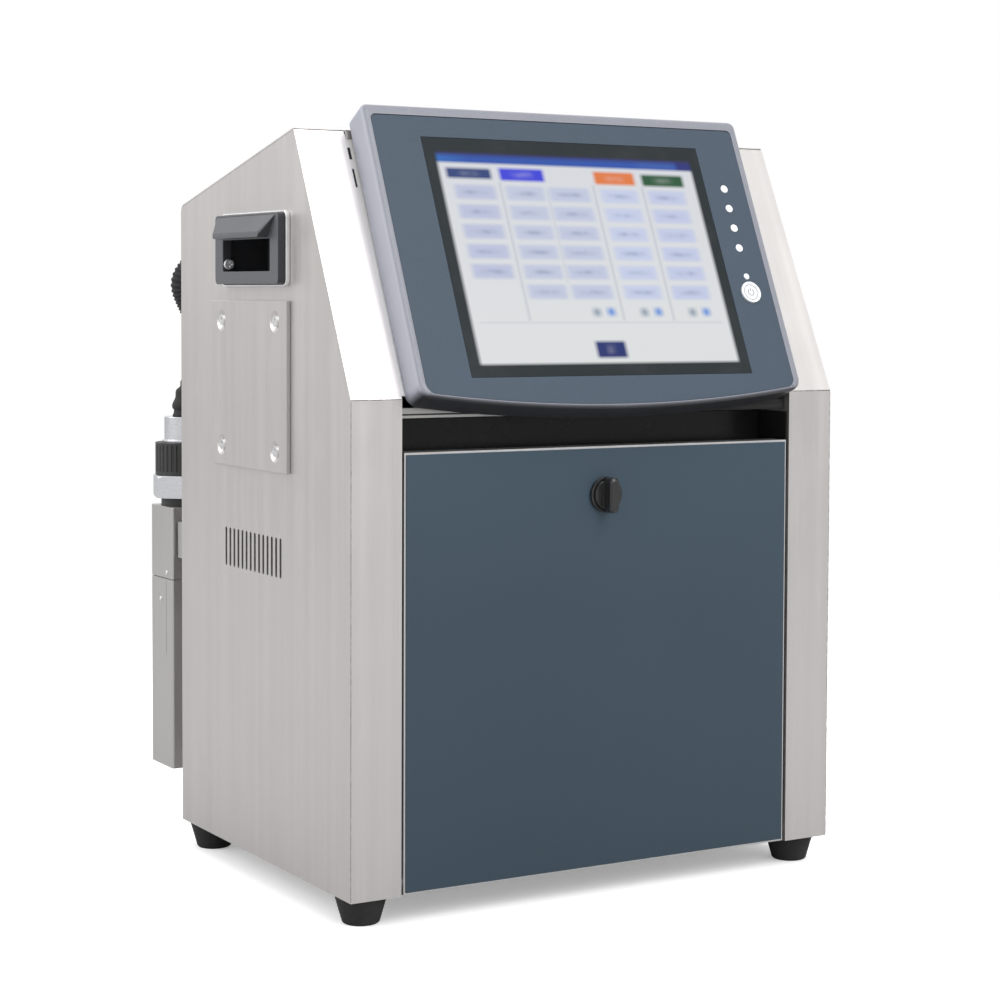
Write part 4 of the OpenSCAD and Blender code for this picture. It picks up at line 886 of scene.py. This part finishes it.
blend = paper.add("ShaderNodeMixShader", {0: paper.math("MULTIPLY", far, seen)})
paper.tree.links.new(paper.shader.outputs[0], blend.node.inputs[1])
paper.tree.links.new(plain, blend.node.inputs[2])
paper.tree.links.new(blend, paper.tree.nodes["Material Output"].inputs[0])
floor_data.materials.append(paper.material)

# Brightness of the surroundings at the horizon and high up
WORLD_LOW, WORLD_HIGH = 0.82, 1.2
world = bpy.data.worlds.new("studio")
bpy.context.scene.world = world
world.use_nodes = True
tree = world.node_tree
background = tree.nodes["Background"]
direction = tree.nodes.new("ShaderNodeTexCoord")
height = tree.nodes.new("ShaderNodeSeparateXYZ")
tree.links.new(direction.outputs["Generated"], height.inputs[0])
ramp = tree.nodes.new("ShaderNodeMapRange")
ramp.inputs[1].default_value = 0.0
ramp.inputs[2].default_value = 0.8
ramp.inputs[3].default_value = WORLD_LOW
ramp.inputs[4].default_value = WORLD_HIGH
tree.links.new(height.outputs[2], ramp.inputs[0])
seen = tree.nodes.new("ShaderNodeLightPath")
choice = tree.nodes.new("ShaderNodeMix")
choice.data_type = "FLOAT"
tree.links.new(seen.outputs["Is Camera Ray"], choice.inputs["Factor"])
tree.links.new(ramp.outputs[0], choice.inputs[2])
choice.inputs[3].default_value = 1.0
tree.links.new(choice.outputs[0], background.inputs["Strength"])
background.inputs["Color"].default_value = (1, 1, 1, 1)


def softbox(name, azimuth, elevation, distance, width, height, power):
    """Area light aimed at the printer; azimuth 0 is in front of it and 90 at its right."""
    data = bpy.data.lights.new(name, "AREA")
    data.shape = "RECTANGLE"
    data.size, data.size_y = width, height
    data.energy = power
    light = bpy.data.objects.new(name, data)
    turn, rise = math.radians(azimuth), math.radians(elevation)
    away = Vector((math.sin(turn) * math.cos(rise), -math.cos(turn) * math.cos(rise),
                   math.sin(rise)))
    aim = Vector((0, 0, 0.3))
    light.location = aim + away * distance
    light.rotation_mode = "QUATERNION"
    light.rotation_quaternion = away.to_track_quat("Z", "Y")
    light.visible_camera = False
    bpy.context.scene.collection.objects.link(light)


softbox("key_softbox", 14, 38, 2.6, 1.1, 1.9, 28)
softbox("left_softbox", -110, 26, 3.0, 2.2, 1.8, 28)
softbox("top_softbox", 150, 75, 2.8, 2.4, 2.4, 14)

# The camera stands to the front left of the cabinet, a little above its middle
CAMERA_YAW, CAMERA_PITCH, CAMERA_ROLL = (math.radians(a) for a in (30.892, -2.75, 0.254))
FROM_CORNER = Vector((-0.8652, -1.3451, 0.3993))
forward = Vector((math.sin(CAMERA_YAW) * math.cos(CAMERA_PITCH),
                  math.cos(CAMERA_YAW) * math.cos(CAMERA_PITCH), math.sin(CAMERA_PITCH)))
level = Vector((math.cos(CAMERA_YAW), -math.sin(CAMERA_YAW), 0))
upright = level.cross(forward)
right = level * math.cos(CAMERA_ROLL) + upright * math.sin(CAMERA_ROLL)
up = upright * math.cos(CAMERA_ROLL) - level * math.sin(CAMERA_ROLL)
camera_data = bpy.data.cameras.new("camera")
camera_data.sensor_width = 36
camera_data.lens = 83.11
camera_data.shift_x, camera_data.shift_y = -0.0308, -0.0931
camera_data.clip_start, camera_data.clip_end = 0.05, 100
camera = bpy.data.objects.new("camera", camera_data)
camera_place = FROM_CORNER + Vector((0, side_low.y, side_low.z))
camera.matrix_world = (Matrix.Translation(camera_place)
                       @ Matrix((right, up, -forward)).transposed().to_4x4())
bpy.context.scene.collection.objects.link(camera)
bpy.context.scene.camera = camera
bpy.context.scene.view_settings.view_transform = "Standard"
